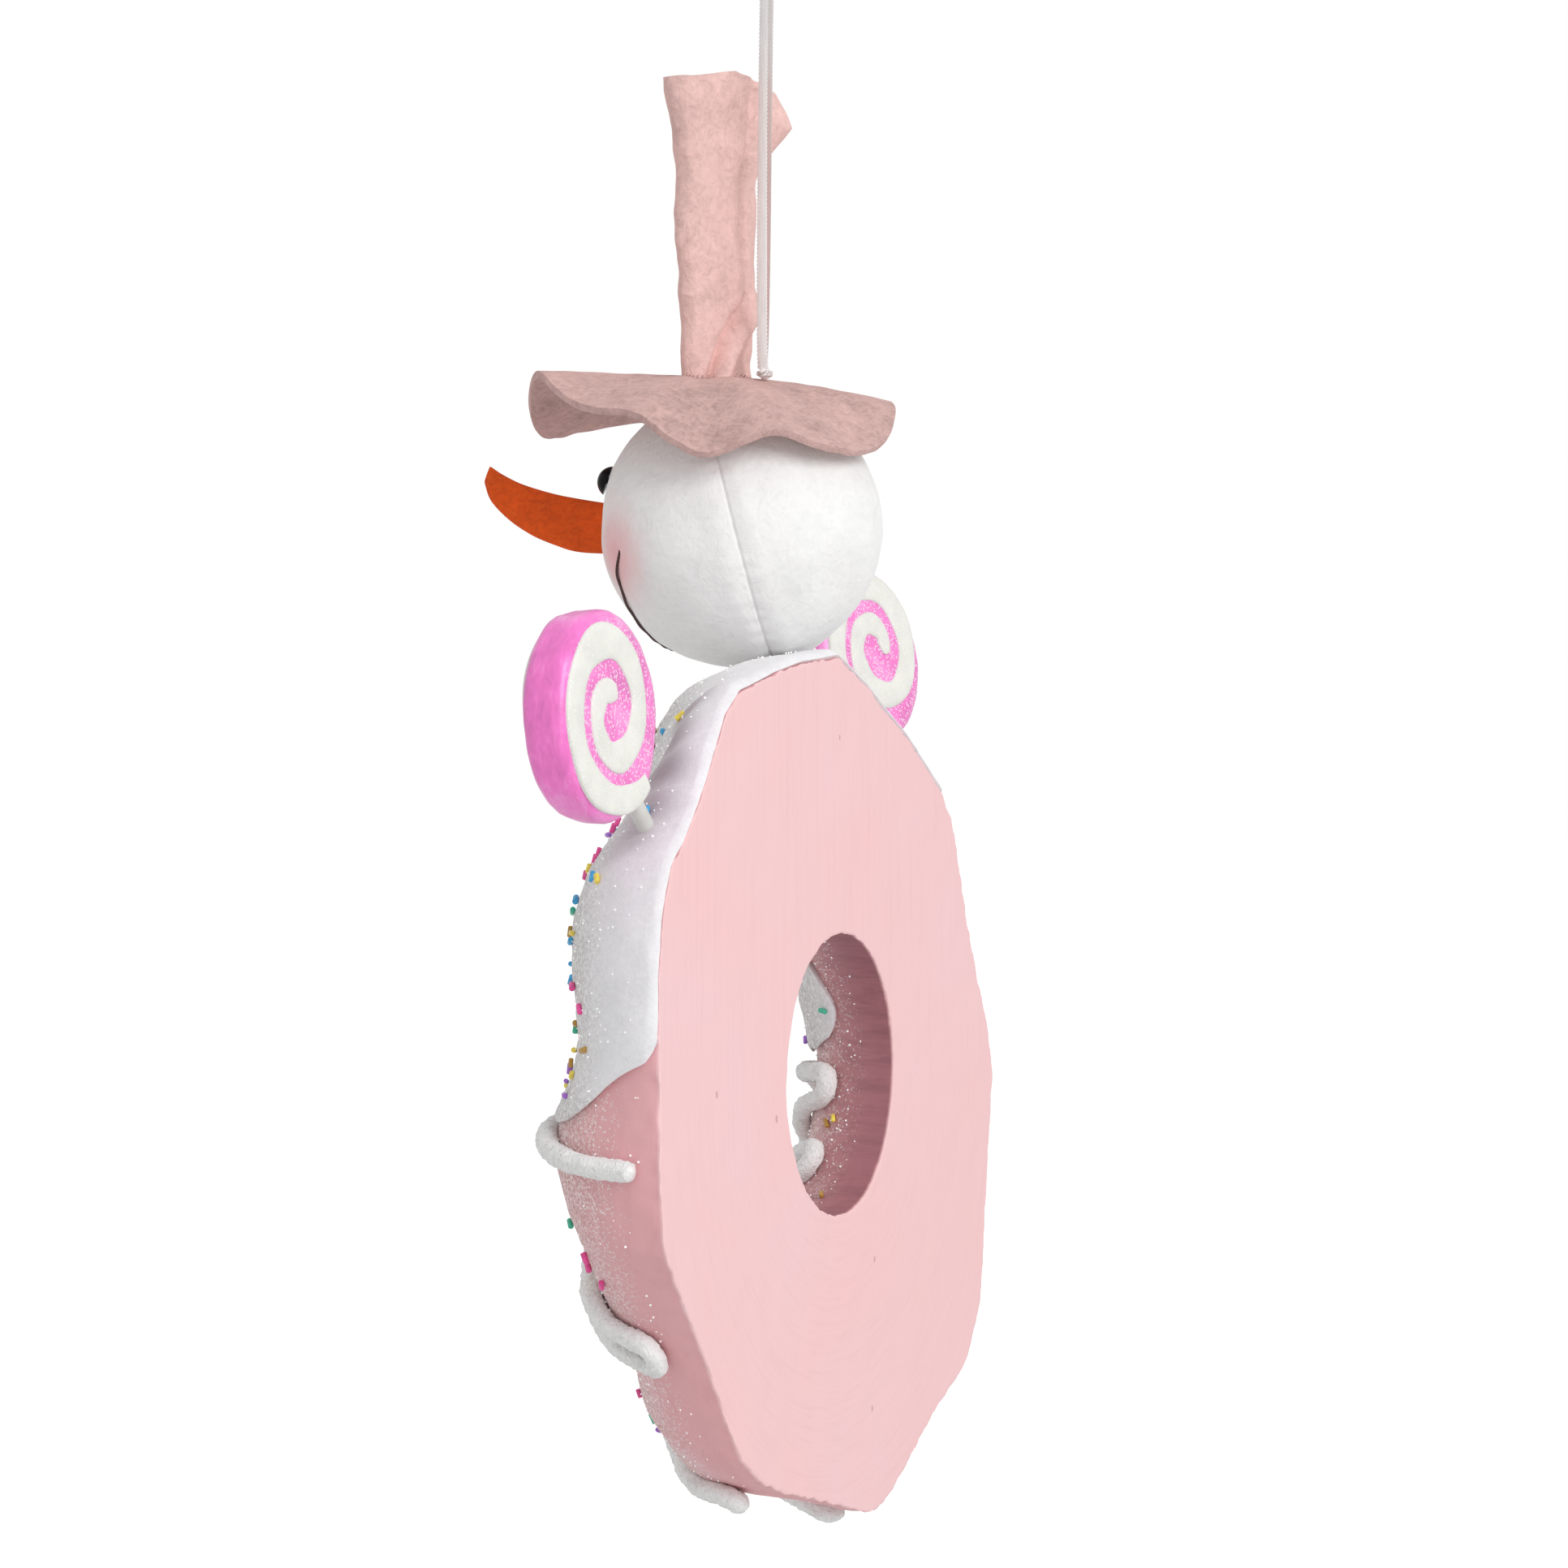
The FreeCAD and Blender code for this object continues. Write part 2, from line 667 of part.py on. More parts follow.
def nose_layer(label, reverse):
    """One felt layer of the flat, upturned carrot nose."""
    body, sketch = body_sketch(label, "YZ_Plane")
    corners = [nose_point(place) for place in NOSE_CORNERS]
    bends = [nose_point(place) for place in NOSE_BENDS]
    edges = [Part.Arc(corners[place], bends[place], corners[place + 1]) for place in range(3)]
    for place, edge in enumerate(edges):
        arc = sketch.addGeometry(edge)
        forwards = (sketch.getPoint(arc, 1) - corners[place]).Length < SAME
        if place == 0:
            first = (arc, 1 if forwards else 2)
        else:
            join(sketch, last[0], last[1], arc, 1 if forwards else 2)
        last = (arc, 2 if forwards else 1)
        pin_point(sketch, arc, 1 if forwards else 2, *nose_formulas(NOSE_CORNERS[place]))
        radius = sketch.Geometry[arc].Radius
        hold(sketch, "Radius", "%.3f * sizes.nose_reach" % (radius / size("nose_reach")),
             arc, radius)
    base_line = sketch.addGeometry(Part.LineSegment(corners[3], corners[0]))
    join(sketch, last[0], last[1], base_line, 1)
    join(sketch, base_line, 2, first[0], first[1])
    pin_point(sketch, base_line, 1, *nose_formulas(NOSE_CORNERS[3]))
    pad = body.newObject("PartDesign::Pad", label + "_pad")
    pad.Profile = sketch
    pad.setExpression("Length", "sizes.nose_layer")
    pad.Reversed = reverse
    return finish(body, label, FreeCAD.Placement(head_centre, FreeCAD.Rotation()))


nose_layer("nose_layer_right", False)
nose_layer("nose_layer_left", True)

mouth_points = []
mouth_rise = size("mouth_bottom") - size("mouth_corner")
mouth_reach = size("head_radius") + size("glue_gap") + 2 * size("thread_radius")
for step in range(-MOUTH_STEPS, MOUTH_STEPS + 1):
    share = abs(step) / MOUTH_STEPS
    turn = math.copysign(size("mouth_turn") * (1 - (1 - share) ** MOUTH_SPREAD), step)
    rise = mouth_rise * share ** MOUTH_FALL - size("mouth_bottom")
    mouth_points.append(head_place(turn, rise, mouth_reach))
feature("mouth_thread", tube("mouth_thread", mouth_points, size("thread_radius")))


# ---------------------------------------------------------------- hat
BRIM_CURVE = "(sizes.brim_radius^2 + sizes.brim_droop^2) / (2 * sizes.brim_droop)"
brim_curve = (size("brim_radius") ** 2 + size("brim_droop") ** 2) / (2 * size("brim_droop"))
ball_to_brim = brim_curve - size("felt_thickness") - size("head_radius") - size("clear_gap")
brim_back = size("brim_forward") + head_centre.y
brim_centre = head_centre + vector(0, -brim_back, -math.sqrt(ball_to_brim ** 2 - brim_back ** 2))
brim_place = FreeCAD.Placement(brim_centre, FreeCAD.Rotation())
brim_outer = primitive("Sphere", "brim_outer", brim_place, Radius=BRIM_CURVE)
brim_inner = primitive("Sphere", "brim_inner", brim_place,
                       Radius=BRIM_CURVE + " - sizes.felt_thickness")
brim_shell = boolean("Cut", "brim_shell", brim_outer, brim_inner)
brim_column = primitive("Cylinder", "brim_column", brim_place, Radius="sizes.brim_radius",
                        Height=BRIM_CURVE + " + sizes.brim_radius")
brim = boolean("Common", "brim_round", brim_shell, brim_column)
finish(brim, "hat_brim")

crown_foot = brim_centre + vector(0, -size("crown_forward") + size("brim_forward"),
                                  brim_curve - size("brim_droop") / 2)


def crown_solid(name, less, height):
    """A flattened tube's solid: an oval column, thinner by twice a margin."""
    oval = primitive("Ellipse", name + "_oval", FreeCAD.Placement(crown_foot, FreeCAD.Rotation()),
                     MajorRadius="sizes.crown_width / 2 - (%s)" % less,
                     MinorRadius="sizes.crown_thickness / 2 - (%s)" % less)
    column = doc.addObject("Part::Extrusion", name)
    column.Base = oval
    column.DirMode = "Custom"
    column.Dir = UP
    column.setExpression("LengthFwd", height)
    column.Solid = True
    return column


crown_top = "(sizes.crown_height + sizes.brim_droop / 2)"
crown_outer = crown_solid("crown_outer", "0", crown_top)
crown_inner = crown_solid("crown_inner", "sizes.felt_thickness", crown_top + " + sizes.clear_gap")
crown_wall = boolean("Cut", "crown_wall", crown_outer, crown_inner)
brim_seat = primitive("Sphere", "crown_seat", brim_place, Radius=BRIM_CURVE + " + sizes.glue_gap")
finish(boolean("Cut", "crown_on_brim", crown_wall, brim_seat), "hat_crown")

lid_low = crown_solid("lid_low", "sizes.felt_thickness - sizes.glue_gap",
                      crown_top + " - sizes.felt_thickness")
lid_high = crown_solid("lid_high", "sizes.felt_thickness + sizes.glue_gap", crown_top)
finish(boolean("Cut", "lid_cut", lid_high, lid_low), "hat_top")

stitch_rods = []
proud = size("hat_stitch_radius") + size("glue_gap")
for number in range(STITCHES):
    turn = 2 * math.pi * (number + 0.5) / STITCHES
    across = (size("crown_width") / 2 + proud) * math.cos(turn)
    along = (size("crown_thickness") / 2 + proud) * math.sin(turn)
    place = crown_foot + vector(across, along, 0)
    level = place - brim_centre
    rise = math.sqrt((brim_curve + size("glue_gap")) ** 2 - level.x ** 2 - level.y ** 2)
    foot = vector(place.x, place.y, brim_centre.z + rise + 2 * size("hat_stitch_radius"))
    stitch_rods.append(Part.makeCylinder(
        size("hat_stitch_radius"), size("hat_stitch_length"), foot, UP))
feature("hat_stitches", Part.makeCompound(stitch_rods))


# ---------------------------------------------------------------- ribbon
knot_rise = math.sqrt((brim_curve + size("clear_gap") + size("knot_radius")) ** 2
                      - size("brim_forward") ** 2)
knot_centre = vector(0, 0, brim_centre.z + knot_rise)
finish(primitive("Sphere", "ribbon_knot", FreeCAD.Placement(knot_centre, FreeCAD.Rotation()),
                 Radius="sizes.knot_radius"), "ribbon_knot")
finish(primitive("Torus", "knot_lashing", FreeCAD.Placement(knot_centre, FreeCAD.Rotation()),
                 Radius1="sizes.knot_radius + sizes.lashing_radius + sizes.clear_gap",
                 Radius2="sizes.lashing_radius"), "knot_lashing")
ribbon_radius = size("ribbon_width") / 2
root = knot_centre.z + size("knot_radius") + size("glue_gap")
ribbon_points = [
    vector(-size("loop_root_spread") / 2, 0, root),
    vector(-size("loop_top_spread") / 2, 0, ribbon_radius),
    vector(size("loop_top_spread") / 2, 0, ribbon_radius),
    vector(size("loop_root_spread") / 2, 0, root),
]
feature("hanging_ribbon", tube("hanging_ribbon", ribbon_points, ribbon_radius))


# ---------------------------------------------------------------- lollipops
def swirl():
    """A spiral band of paint for a lollipop's face: half turns of shrinking radius."""
    pitch = size("swirl_width") * SWIRL_PITCH
    outer = size("candy_radius") - size("swirl_width") * SWIRL_INSET
    edges = []
    turns = int(2 * outer / pitch)
    for half in range(turns):
        start = outer - half * pitch / 2
        stop = start - pitch / 2
        side = 1 if half % 2 else -1
        edges.append(Part.Arc(
            vector(0, side * start, 0),
            vector(side * (start + stop) / 2, side * (start - stop) / 2, 0),
            vector(0, -side * stop, 0)).toShape())
    band = Part.Wire(edges).makeOffset2D(size("swirl_width") / 2, 0, False, False, True)
    return Part.Face(band).extrude(UP * size("swirl_height"))


def lollipop(side):
    """A stick, and a round candy on it with a swirl on each face."""
    turned = FreeCAD.Placement(vector(0, 0, 0), FreeCAD.Rotation(UP, size(side + "_candy_turn")))
    place = aim(*ARMS[side]).multiply(turned)
    reach = size("stick_buried") + size(side + "_stick_out") + size("candy_radius")
    name = "lollipop_" + side
    length = "sizes.stick_buried + sizes.%s_stick_out + sizes.stick_in_candy" % side
    finish(primitive("Cylinder", name + "_stick", place, Radius="sizes.stick_radius",
                     Height=length), name + "_stick")
    upright = FreeCAD.Rotation(vector(1, 0, 0), 90)
    middle = vector(0, size("candy_thickness") / 2, reach)
    disc = primitive("Cylinder", name + "_blank", place.multiply(
        FreeCAD.Placement(middle, upright)),
        Radius="sizes.candy_radius", Height="sizes.candy_thickness")
    doc.recompute()
    rounded = doc.addObject("Part::Fillet", name + "_rounded")
    rounded.Base = disc
    edge_numbers = [number for number, edge in enumerate(disc.Shape.Edges, start=1)
                    if edge.Length > 2 * size("candy_radius")]
    rounded.Edges = [(number, size("candy_edge"), size("candy_edge")) for number in edge_numbers]
    bore = primitive("Cylinder", name + "_bore", place,
                     Radius="sizes.stick_radius + sizes.glue_gap / 2",
                     Height=length + " + sizes.glue_gap")
    finish(boolean("Cut", name + "_bored", rounded, bore), name + "_candy")
    for face, turn in (("front", 90), ("back", -90)):
        facing = FreeCAD.Rotation(vector(1, 0, 0), turn)
        start_down = FreeCAD.Rotation(UP, 0 if turn > 0 else 180)
        proud = facing.multVec(UP) * (size("candy_thickness") / 2)
        local = FreeCAD.Placement(proud + UP * reach, facing.multiply(start_down))
        item = feature("%s_swirl_%s" % (name, face), swirl())
        item.Placement = place.multiply(local)


for side in ARMS:
    lollipop(side)

# ---------------------------------------------------------------- checks and files
doc.recompute()
for item in doc.Objects:
    if "Invalid" in item.State or "Error" in item.State:
        raise RuntimeError("%s failed: %s" % (item.Label, item.State))
os.makedirs("parts", exist_ok=True)
for item in subparts:
    shape = item.Shape
    if shape.isNull() or not shape.isValid() or not shape.Solids:
        raise RuntimeError("%s has no sound shape" % item.Label)
    shape.exportStep("parts/%s.step" % item.Label)
print("origin to ring centre", ring_centre, "head", head_centre, "knot", knot_centre)
print("nodes", len(subparts))
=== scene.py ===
import json
import math
import random
from functools import lru_cache

import bpy
import numpy as np
from bpy.props import FloatProperty, FloatVectorProperty, IntProperty, PointerProperty
from mathutils import Matrix, Vector, kdtree, noise


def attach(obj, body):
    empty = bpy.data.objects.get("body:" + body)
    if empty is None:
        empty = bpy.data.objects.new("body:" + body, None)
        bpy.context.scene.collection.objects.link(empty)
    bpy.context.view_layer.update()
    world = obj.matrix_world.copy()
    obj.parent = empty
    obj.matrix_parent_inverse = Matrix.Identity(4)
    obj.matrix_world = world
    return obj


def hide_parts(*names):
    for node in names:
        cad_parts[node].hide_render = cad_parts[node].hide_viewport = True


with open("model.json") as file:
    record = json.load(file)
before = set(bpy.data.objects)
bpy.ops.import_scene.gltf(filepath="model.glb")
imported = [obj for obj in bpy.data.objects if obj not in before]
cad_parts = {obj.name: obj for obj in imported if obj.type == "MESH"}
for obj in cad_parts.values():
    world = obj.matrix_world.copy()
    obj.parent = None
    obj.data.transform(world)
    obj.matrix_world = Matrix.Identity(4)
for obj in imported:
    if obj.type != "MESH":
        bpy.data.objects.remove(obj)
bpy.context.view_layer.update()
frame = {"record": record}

bl_info = {
    "name": "Hanging Snowman Ornament",
    "version": (1, 0, 0),
    "blender": (4, 5, 0),
    "location": "3D View > Sidebar > Snowman",
    "description": "Builds a hanging felt and foam snowman around its packed frame",
    "category": "Add Mesh",
}

MM = 0.001

# ---------------------------------------------------------------- places, in millimetres
RING_CENTRE = np.array((0.0, 20.7, -276.1))
FRONT_PLANE = -13.3
OUTLINE_OFFSETS = (1.5, 3.0, 3.5, -3.5, -10.0, -9.5, 2.0, 10.0, 6.5, 0.5, -0.5, -3.5)
# the hand-cut back edge: (angle from +X up, distance from the ring's middle)
CUT_EDGE = np.array((
    (7.6, 107.5), (15.6, 109.8), (21.8, 111.6), (27.9, 111.9), (32.3, 108.8), (41.7, 107.9),
    (51.0, 111.4), (56.2, 110.9), (66.1, 105.8), (75.9, 103.0), (88.6, 101.8), (99.9, 96.7),
    (117.9, 93.8), (134.1, 96.7), (140.9, 97.6), (147.2, 95.9), (159.5, 95.3), (169.7, 99.0),
    (177.2, 104.5), (184.1, 108.4), (190.4, 108.0), (205.3, 112.6), (214.4, 118.8),
    (221.7, 119.5), (226.5, 117.1), (234.6, 112.1), (243.7, 110.7), (252.5, 112.1),
    (258.3, 111.8), (262.7, 109.7), (287.1, 102.5), (297.0, 103.8), (305.0, 104.4),
    (313.5, 101.8), (323.3, 100.4), (331.9, 102.3), (342.3, 107.0), (350.0, 106.5),
    (358.6, 105.8)))
# (angle, how far the hand-worked side stands proud there, or is cut away)
WORKED_SIDE = np.array((
    (-88, 0.0), (-71, 3.0), (-63.5, -0.2), (-57.5, -0.6), (-52.5, -2.4), (-47.5, -3.7),
    (-42.5, -2.8), (-31.5, -1.4), (-24.5, -0.3), (-20.5, 0.5), (-15.5, 1.6), (-11, 2.6),
    (-5, 1.3), (1, -2.8), (6, -4.5), (8.5, -4.8), (13, -4.1), (17, -2.6), (21, -1.4), (26, 0.0),
    (32.5, 0.0), (36, -1.2), (40, -2.9), (44.5, -4.0), (47.5, -5.5), (50.5, -6.8), (55, -5.6),
    (57, -4.1), (63, -2.8), (68.5, 1.2), (85, 0.0)))
# soft swells and hollows of the worked foam: (height, angle, its spread, across, its spread)
SWELLS = ((2.6, -46, 34, 2.1, 0.65), (1.6, -105, 30, 2.0, 0.7), (-3.2, 187, 45, 0.8, 0.5))
# a dent that runs aslant over the right shoulder: its height, its angle where across is
# DENT_ACROSS, and how far that angle moves for each unit of across
DENT_HEIGHT, DENT_ANGLE, DENT_SLANT, DENT_ACROSS = -2.6, 47, 22, 2.55
OUTER_ROUND = 31.0
INNER_ROUND = 28.0
# past the rounds, one unit of "across" is this long on the straight walls
WALL_UNIT = 10.0
# "across" runs from the hole, 0, over the front, 1 to 2, to the side, 3, and on along the walls
BACK_ACROSS = 3.3
HOLE_ACROSS = -0.6

# the felt's edge on each side: (angle, across)
FELT_EDGE_RIGHT = np.array((
    (8.2, 3.3), (6.6, 3.2), (5.3, 3.0), (2.8, 2.8), (-1.0, 2.6), (-4, 2.4), (-5, 2.15),
    (-3, 1.9), (2, 1.6), (0, 1.3), (-6, 1.05), (-7, 0.8), (-3, 0.55), (-3, 0.2)))
FELT_EDGE_LEFT = np.array((
    (168, 0.2), (174, 0.3), (177, 0.45), (176, 0.62), (179.5, 0.85), (177, 1.1), (174, 1.5),
    (178, 1.9), (176.5, 2.15), (170, 2.45), (158, 2.6), (148, 2.7), (140, 2.85), (134.5, 3.3)))
# the felt's rim round the hole, in "across", and how far the felt's edge stands off the foam
FELT_RIM = 0.217
FELT_SEAT = 1.35
# the places of the painted violet-grey shade in the hollow of the felt on the right shoulder, in
# metres
HOLLOW_SHADE_PLACES = ((0.058, 0.0102, -0.192), (0.066, 0.0088, -0.198), (0.0745, 0.009, -0.2055),
                 (0.0815, 0.0092, -0.2142), (0.086, 0.0085, -0.2225))

ROPE_START = (-7.4, 2.95)
ROPE_OUTER_TURNS = (-35.0, -69.0, -101.0, -125.0, -154.0)
ROPE_INNER_TURNS = (-19.0, -52.0, -85.0, -113.0, -139.0, -171.0)
ROPE_END = (-177.0, 2.3)
# the second outer loop leans aside by this many degrees
LEANING_LOOP = 1
LOOP_LEAN = -11.0
OUTER_TURN_ACROSS = 2.82
INNER_TURN_ACROSS = 0.3
# half the width of each turn, the height of the rope's middle, and the step along it
INNER_TURN_HALF = 2.8
OUTER_TURN_HALF = 3.375
ROPE_LIFT = 2.75
ROPE_STEP = 0.75

HEAD_CENTRE = np.array((0.0, -6.26, -141.78))
HEAD_RADIUS = 34.8
SEAM_TURN = 109.0
SEAM_TILT = 15.0
CHEEK_TURN = 47.0
CHEEK_RISE = -13.0
SMILE_TURN = 50.0
SMILE_LOW = -59.0
SMILE_RISE = 47.6
# stitches from the middle of the smile to a corner
SMILE_STITCHES = 12

# the nose's upper and lower edges: (distance forward, height), from the middle of the head
NOSE_TOP = (
    (34.2, 6.5), (46.7, 8.7), (53.3, 10.2), (61.0, 12.6), (66.5, 15.2), (69.6, 17.2))
NOSE_UNDER = (
    (34.2, -5.8), (44.5, -5.1), (51.1, -3.2), (57.7, -0.5), (64.3, 3.7), (69.1, 8.5),
    (71.2, 13.3))

BRIM_CENTRE = np.array((0.0, -14.3, -104.3))
# (angle from +X, how far the brim's edge hangs below its middle)
BRIM_DROOPS = np.array((
    (-135, 6.0), (-112, 8.7), (-97, 11.5), (-85, 12.0), (-64, 6.4), (-50, 1.0), (-43, 0.5),
    (-26, 8.0), (-13.6, 11.0), (1.5, 13.0), (12, 19.0), (23, 22.5), (42, 17.0), (61, 20.0),
    (82, 20.0), (100, 15.0), (113, 8.0), (140, 4.0), (180, 8.0), (205, 9.0)))
# how the brim's droop grows from its middle to its edge
BRIM_SAG = 2.1
CROWN_CENTRE = np.array((0.0, -12.6, 0.0))
CROWN_LOW = -106.5
CROWN_HIGH = -30.0
# (share of the crown's height, how full it is there), and how far its far corner flares
CROWN_FULLNESS = np.array(((0, 0.75), (0.08, 0.69), (0.2, 0.75), (0.45, 0.87), (0.7, 0.88),
                           (0.9, 0.99), (1, 1.05)))
CROWN_FLARE = np.array(((0.70, 0), (0.78, 0.3), (0.88, 1.0), (0.94, 0.8), (1.0, 0.45)))
CROWN_FLARE_REACH = 9.5
CROWN_STITCHES = 36

KNOT = np.array((0.0, 0.0, -102.575))
KNOT_SEAT = KNOT - np.array((0, 0, 1.5))
RIBBON_ROUTE = [(-1.0, 0, -103.0), (-2.3, 0.1, -97.0), (-2.2, 0.3, -16.5), (-1.6, 1.0, 1.5),
                (1.6, 1.0, 1.5), (2.2, 0.6, -16.5), (2.3, 0.1, -97.0), (1.0, 0, -103.0)]

# each stick's tip in the ring, its direction, how far it stands out, and its candy's turn
STICKS = {
    "right": ((73.389, 11.0, -231.127), (0.712361, -0.049938, 0.700035), 13.0, 0.0),
    "left": ((-39.580, 0.0, -215.152), (-0.543960, -0.049938, 0.837624), 7.0, -14.0),
}
STICK_BURIED = 22.0
CANDY_RADIUS = 23.2
CANDY_THICKNESS = 11.0
CANDY_RINGS = 9
CANDY_RING_STEP = 0.0019
# (sweep in degrees, the swirl's radius) and (sweep, share of the swirl's full width)
SWIRL_SWEEP = 606
SWIRL_RADII = np.array(((0, 21.2), (18, 19.6), (45, 18.4), (90, 17.8), (180, 17.3), (225, 16.2),
                        (270, 14.0), (315, 11.8), (360, 9.9), (450, 8.4), (540, 6.8), (606, 3.7)))
SWIRL_WIDTHS = np.array(((0, 0.66), (30, 0.95), (90, 1.2), (270, 1.2), (360, 1.1), (450, 1.0),
                         (540, 0.9), (606, 0.75)))
SPRINKLE_COLOURS = ("pink", "yellow", "brown", "green", "blue", "purple")

SPRINKLE_SEED = 5
GLITTER_SEED = 23

# ---------------------------------------------------------------- stage
FLOOR_HEIGHT = -0.62
FLOOR_RADIUS = 30.0
LIT_MIDDLE = (0.0, 0.0, -0.22)
KEY_PLACE = (0.9, 1.7, 0.7)
KEY_POWER = 21.0
KEY_SIZE = 1.2
SKY_LIGHT = 0.71
CAMERA_TURN = 113.0
CAMERA_BACK = Vector((0.9205, 0.3907, 0))
CAMERA_ASIDE = Vector((-0.3907, 0.9205, 0)) * 0.0048
CAMERA_HEIGHT = -0.2052
CAMERA_LENS = 89.441


# ---------------------------------------------------------------- settings
def length_setting(name, description, default):
    return FloatProperty(name=name, description=description, default=default, unit="LENGTH",
                         subtype="DISTANCE", min=0.0, precision=5)


def colour_setting(name, description, default):
    return FloatVectorProperty(name=name, description=description, default=default,
                               subtype="COLOR", size=3, min=0.0, max=1.0)


class SnowmanSizes(bpy.types.PropertyGroup):
    ring_radius: length_setting("Ring Radius", "Mean radius of the foam ring", 0.105)
    hole_radius: length_setting("Hole Radius", "Radius of the hole through the ring", 0.0345)
    felt_thickness: length_setting("Felt Thickness", "Thickness of the icing and hat felt", 0.0018)
    rope_radius: length_setting("Rope Radius", "Radius of the fuzzy icing rope", 0.0025)
    brim_radius: length_setting("Brim Radius", "Radius of the hat's brim", 0.0455)
    crown_width: length_setting("Crown Width", "Width of the flattened crown", 0.042)
    crown_depth: length_setting("Crown Depth", "Depth of the flattened crown", 0.014)
    ribbon_width: length_setting("Ribbon Width", "Width of the satin ribbon", 0.003)
    swirl_width: length_setting("Swirl Width", "Width of a lollipop's painted swirl", 0.0064)
    flake_size: length_setting("Flake Size", "Size of one flake of glitter", 0.0005)
    flakes: IntProperty(name="Flakes", description="How many flakes of glitter there are",
                        default=3000, min=0)
    camera_distance: length_setting("Camera Distance", "How far the camera is", 0.96)


class SnowmanColours(bpy.types.PropertyGroup):
    # the Foam pink of the flat back is paler and the Foam Side pink deeper: partly the paint's own
    # colours, partly painted light on the back and painted shade on the side
    foam: colour_setting("Foam", "Pink paint on the ring", (0.91, 0.585, 0.592))
    shaded_foam_side: colour_setting("Foam Side", "Pink paint round the ring's side", (0.80, 0.42, 0.44))
    icing: colour_setting("Icing", "White felt icing", (0.84, 0.83, 0.85))
    rope: colour_setting("Rope", "White icing rope", (0.88, 0.88, 0.87))
    fleece: colour_setting("Fleece", "White fleece of the head", (0.87, 0.87, 0.86))
    blush: colour_setting("Blush", "Pink on the cheeks", (0.86, 0.32, 0.34))
    hat: colour_setting("Hat", "Dusty pink felt of the hat", (0.75, 0.49, 0.455))
    nose: colour_setting("Nose", "Orange felt of the nose", (0.76, 0.088, 0.004))
    candy: colour_setting("Candy", "Pink of the lollipops", (0.96, 0.20, 0.63))
    swirl: colour_setting("Swirl", "White glitter of the swirls", (0.88, 0.88, 0.82))
    ribbon: colour_setting("Ribbon", "Satin ribbon", (0.86, 0.83, 0.82))
    floor: colour_setting("Floor", "Pale floor", (0.95, 0.95, 0.95))


def size_of(name):
    """A size from the settings, in millimetres."""
    return getattr(bpy.context.scene.snowman_sizes, name) / MM


def colour_of(name):
    return tuple(getattr(bpy.context.scene.snowman_colours, name))


# ---------------------------------------------------------------- helpers for objects
def lone_start():
    """Object mode with nothing selected."""
    if bpy.context.object and bpy.context.object.mode != "OBJECT":
        bpy.ops.object.mode_set(mode="OBJECT")
    bpy.ops.object.select_all(action="DESELECT")


def only(piece):
    lone_start()
    bpy.context.view_layer.objects.active = piece
    piece.select_set(True)


def close_up(piece, weld=1e-6):
    """Weld what meets, and turn every face outwards."""
    only(piece)
    bpy.ops.object.mode_set(mode="EDIT")
    bpy.ops.mesh.select_all(action="SELECT")
    bpy.ops.mesh.remove_doubles(threshold=weld)
    bpy.ops.mesh.normals_make_consistent(inside=False)
    bpy.ops.object.mode_set(mode="OBJECT")


def settle(piece):
    """Put a piece's place and turn into its mesh."""
    only(piece)
    bpy.ops.object.transform_apply(location=True, rotation=True, scale=True)


def modify(piece, kind, **settings):
    only(piece)
    modifier = piece.modifiers.new(kind.title(), kind)
    for name, value in settings.items():
        setattr(modifier, name, value)
    bpy.ops.object.modifier_apply(modifier=modifier.name)


def smooth(piece, angle=40.0):
    only(piece)
    bpy.ops.object.shade_smooth_by_angle(angle=math.radians(angle))


def dress(piece, name, material, body="snowman"):
    piece.name = name
    piece.data.name = name
    piece.data.materials.clear()
    piece.data.materials.append(material)
    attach(piece, body)
    return piece


def points_of(piece):
    flat = np.empty(len(piece.data.vertices) * 3)
    piece.data.vertices.foreach_get("co", flat)
    return flat.reshape(-1, 3) / MM


def move_points(piece, points):
    piece.data.vertices.foreach_set("co", (np.asarray(points) * MM).ravel())
    piece.data.update()


def cloth_grid(points):
    """A grid laid on an array of points, rows by columns."""
    rows, columns = points.shape[:2]
    lone_start()
    bpy.ops.mesh.primitive_grid_add(x_subdivisions=columns - 1, y_subdivisions=rows - 1,
                                    size=1, location=(0, 0, 0))
    piece = bpy.context.object
    if len(piece.data.vertices) != rows * columns:
        raise RuntimeError("a grid has %d points, not %d" % (
            len(piece.data.vertices), rows * columns))
    move_points(piece, points.reshape(-1, 3))
    return piece


def thicken(piece, thickness, face, outwards):
    """Give a sheet its thickness on the inside; outwards is the way one face should look."""
    right_way = piece.data.polygons[face].normal.dot(Vector(outwards)) > 0
    modify(piece, "SOLIDIFY", thickness=thickness, offset=-1.0 if right_way else 1.0)


def unit(vectors):
    return vectors / np.linalg.norm(vectors, axis=-1)[..., None]


def capped(rings):
    """Close a tube: one more ring at each end, drawn together in its middle."""
    ends = [np.repeat(rings[place].mean(axis=0)[None, None], rings.shape[1], axis=1)
            for place in (0, -1)]
    return np.concatenate([ends[0], rings, ends[1]])


def swept(path, radii, sides=16, wobble=None):
    """A tube along a path, closed at both ends."""
    path = np.asarray(path, dtype=float)
    ahead = unit(np.gradient(path, axis=0))
    normal = np.cross(ahead[0], (0.31, 0.87, 0.39))
    rings = []
    for place, direction, radius in zip(path, ahead, radii):
        normal = unit(normal - direction * normal.dot(direction))
        side = np.cross(direction, normal)
        turn = np.linspace(0, 2 * math.pi, sides + 1)
        ring = np.outer(np.cos(turn), normal) + np.outer(np.sin(turn), side)
        rings.append(place + ring * radius)
    points = np.array(rings)
    points[:, -1] = points[:, 0]
    if wobble is not None:
        points = wobble(points)
        points[:, -1] = points[:, 0]
    piece = cloth_grid(capped(points))
    close_up(piece)
    return piece


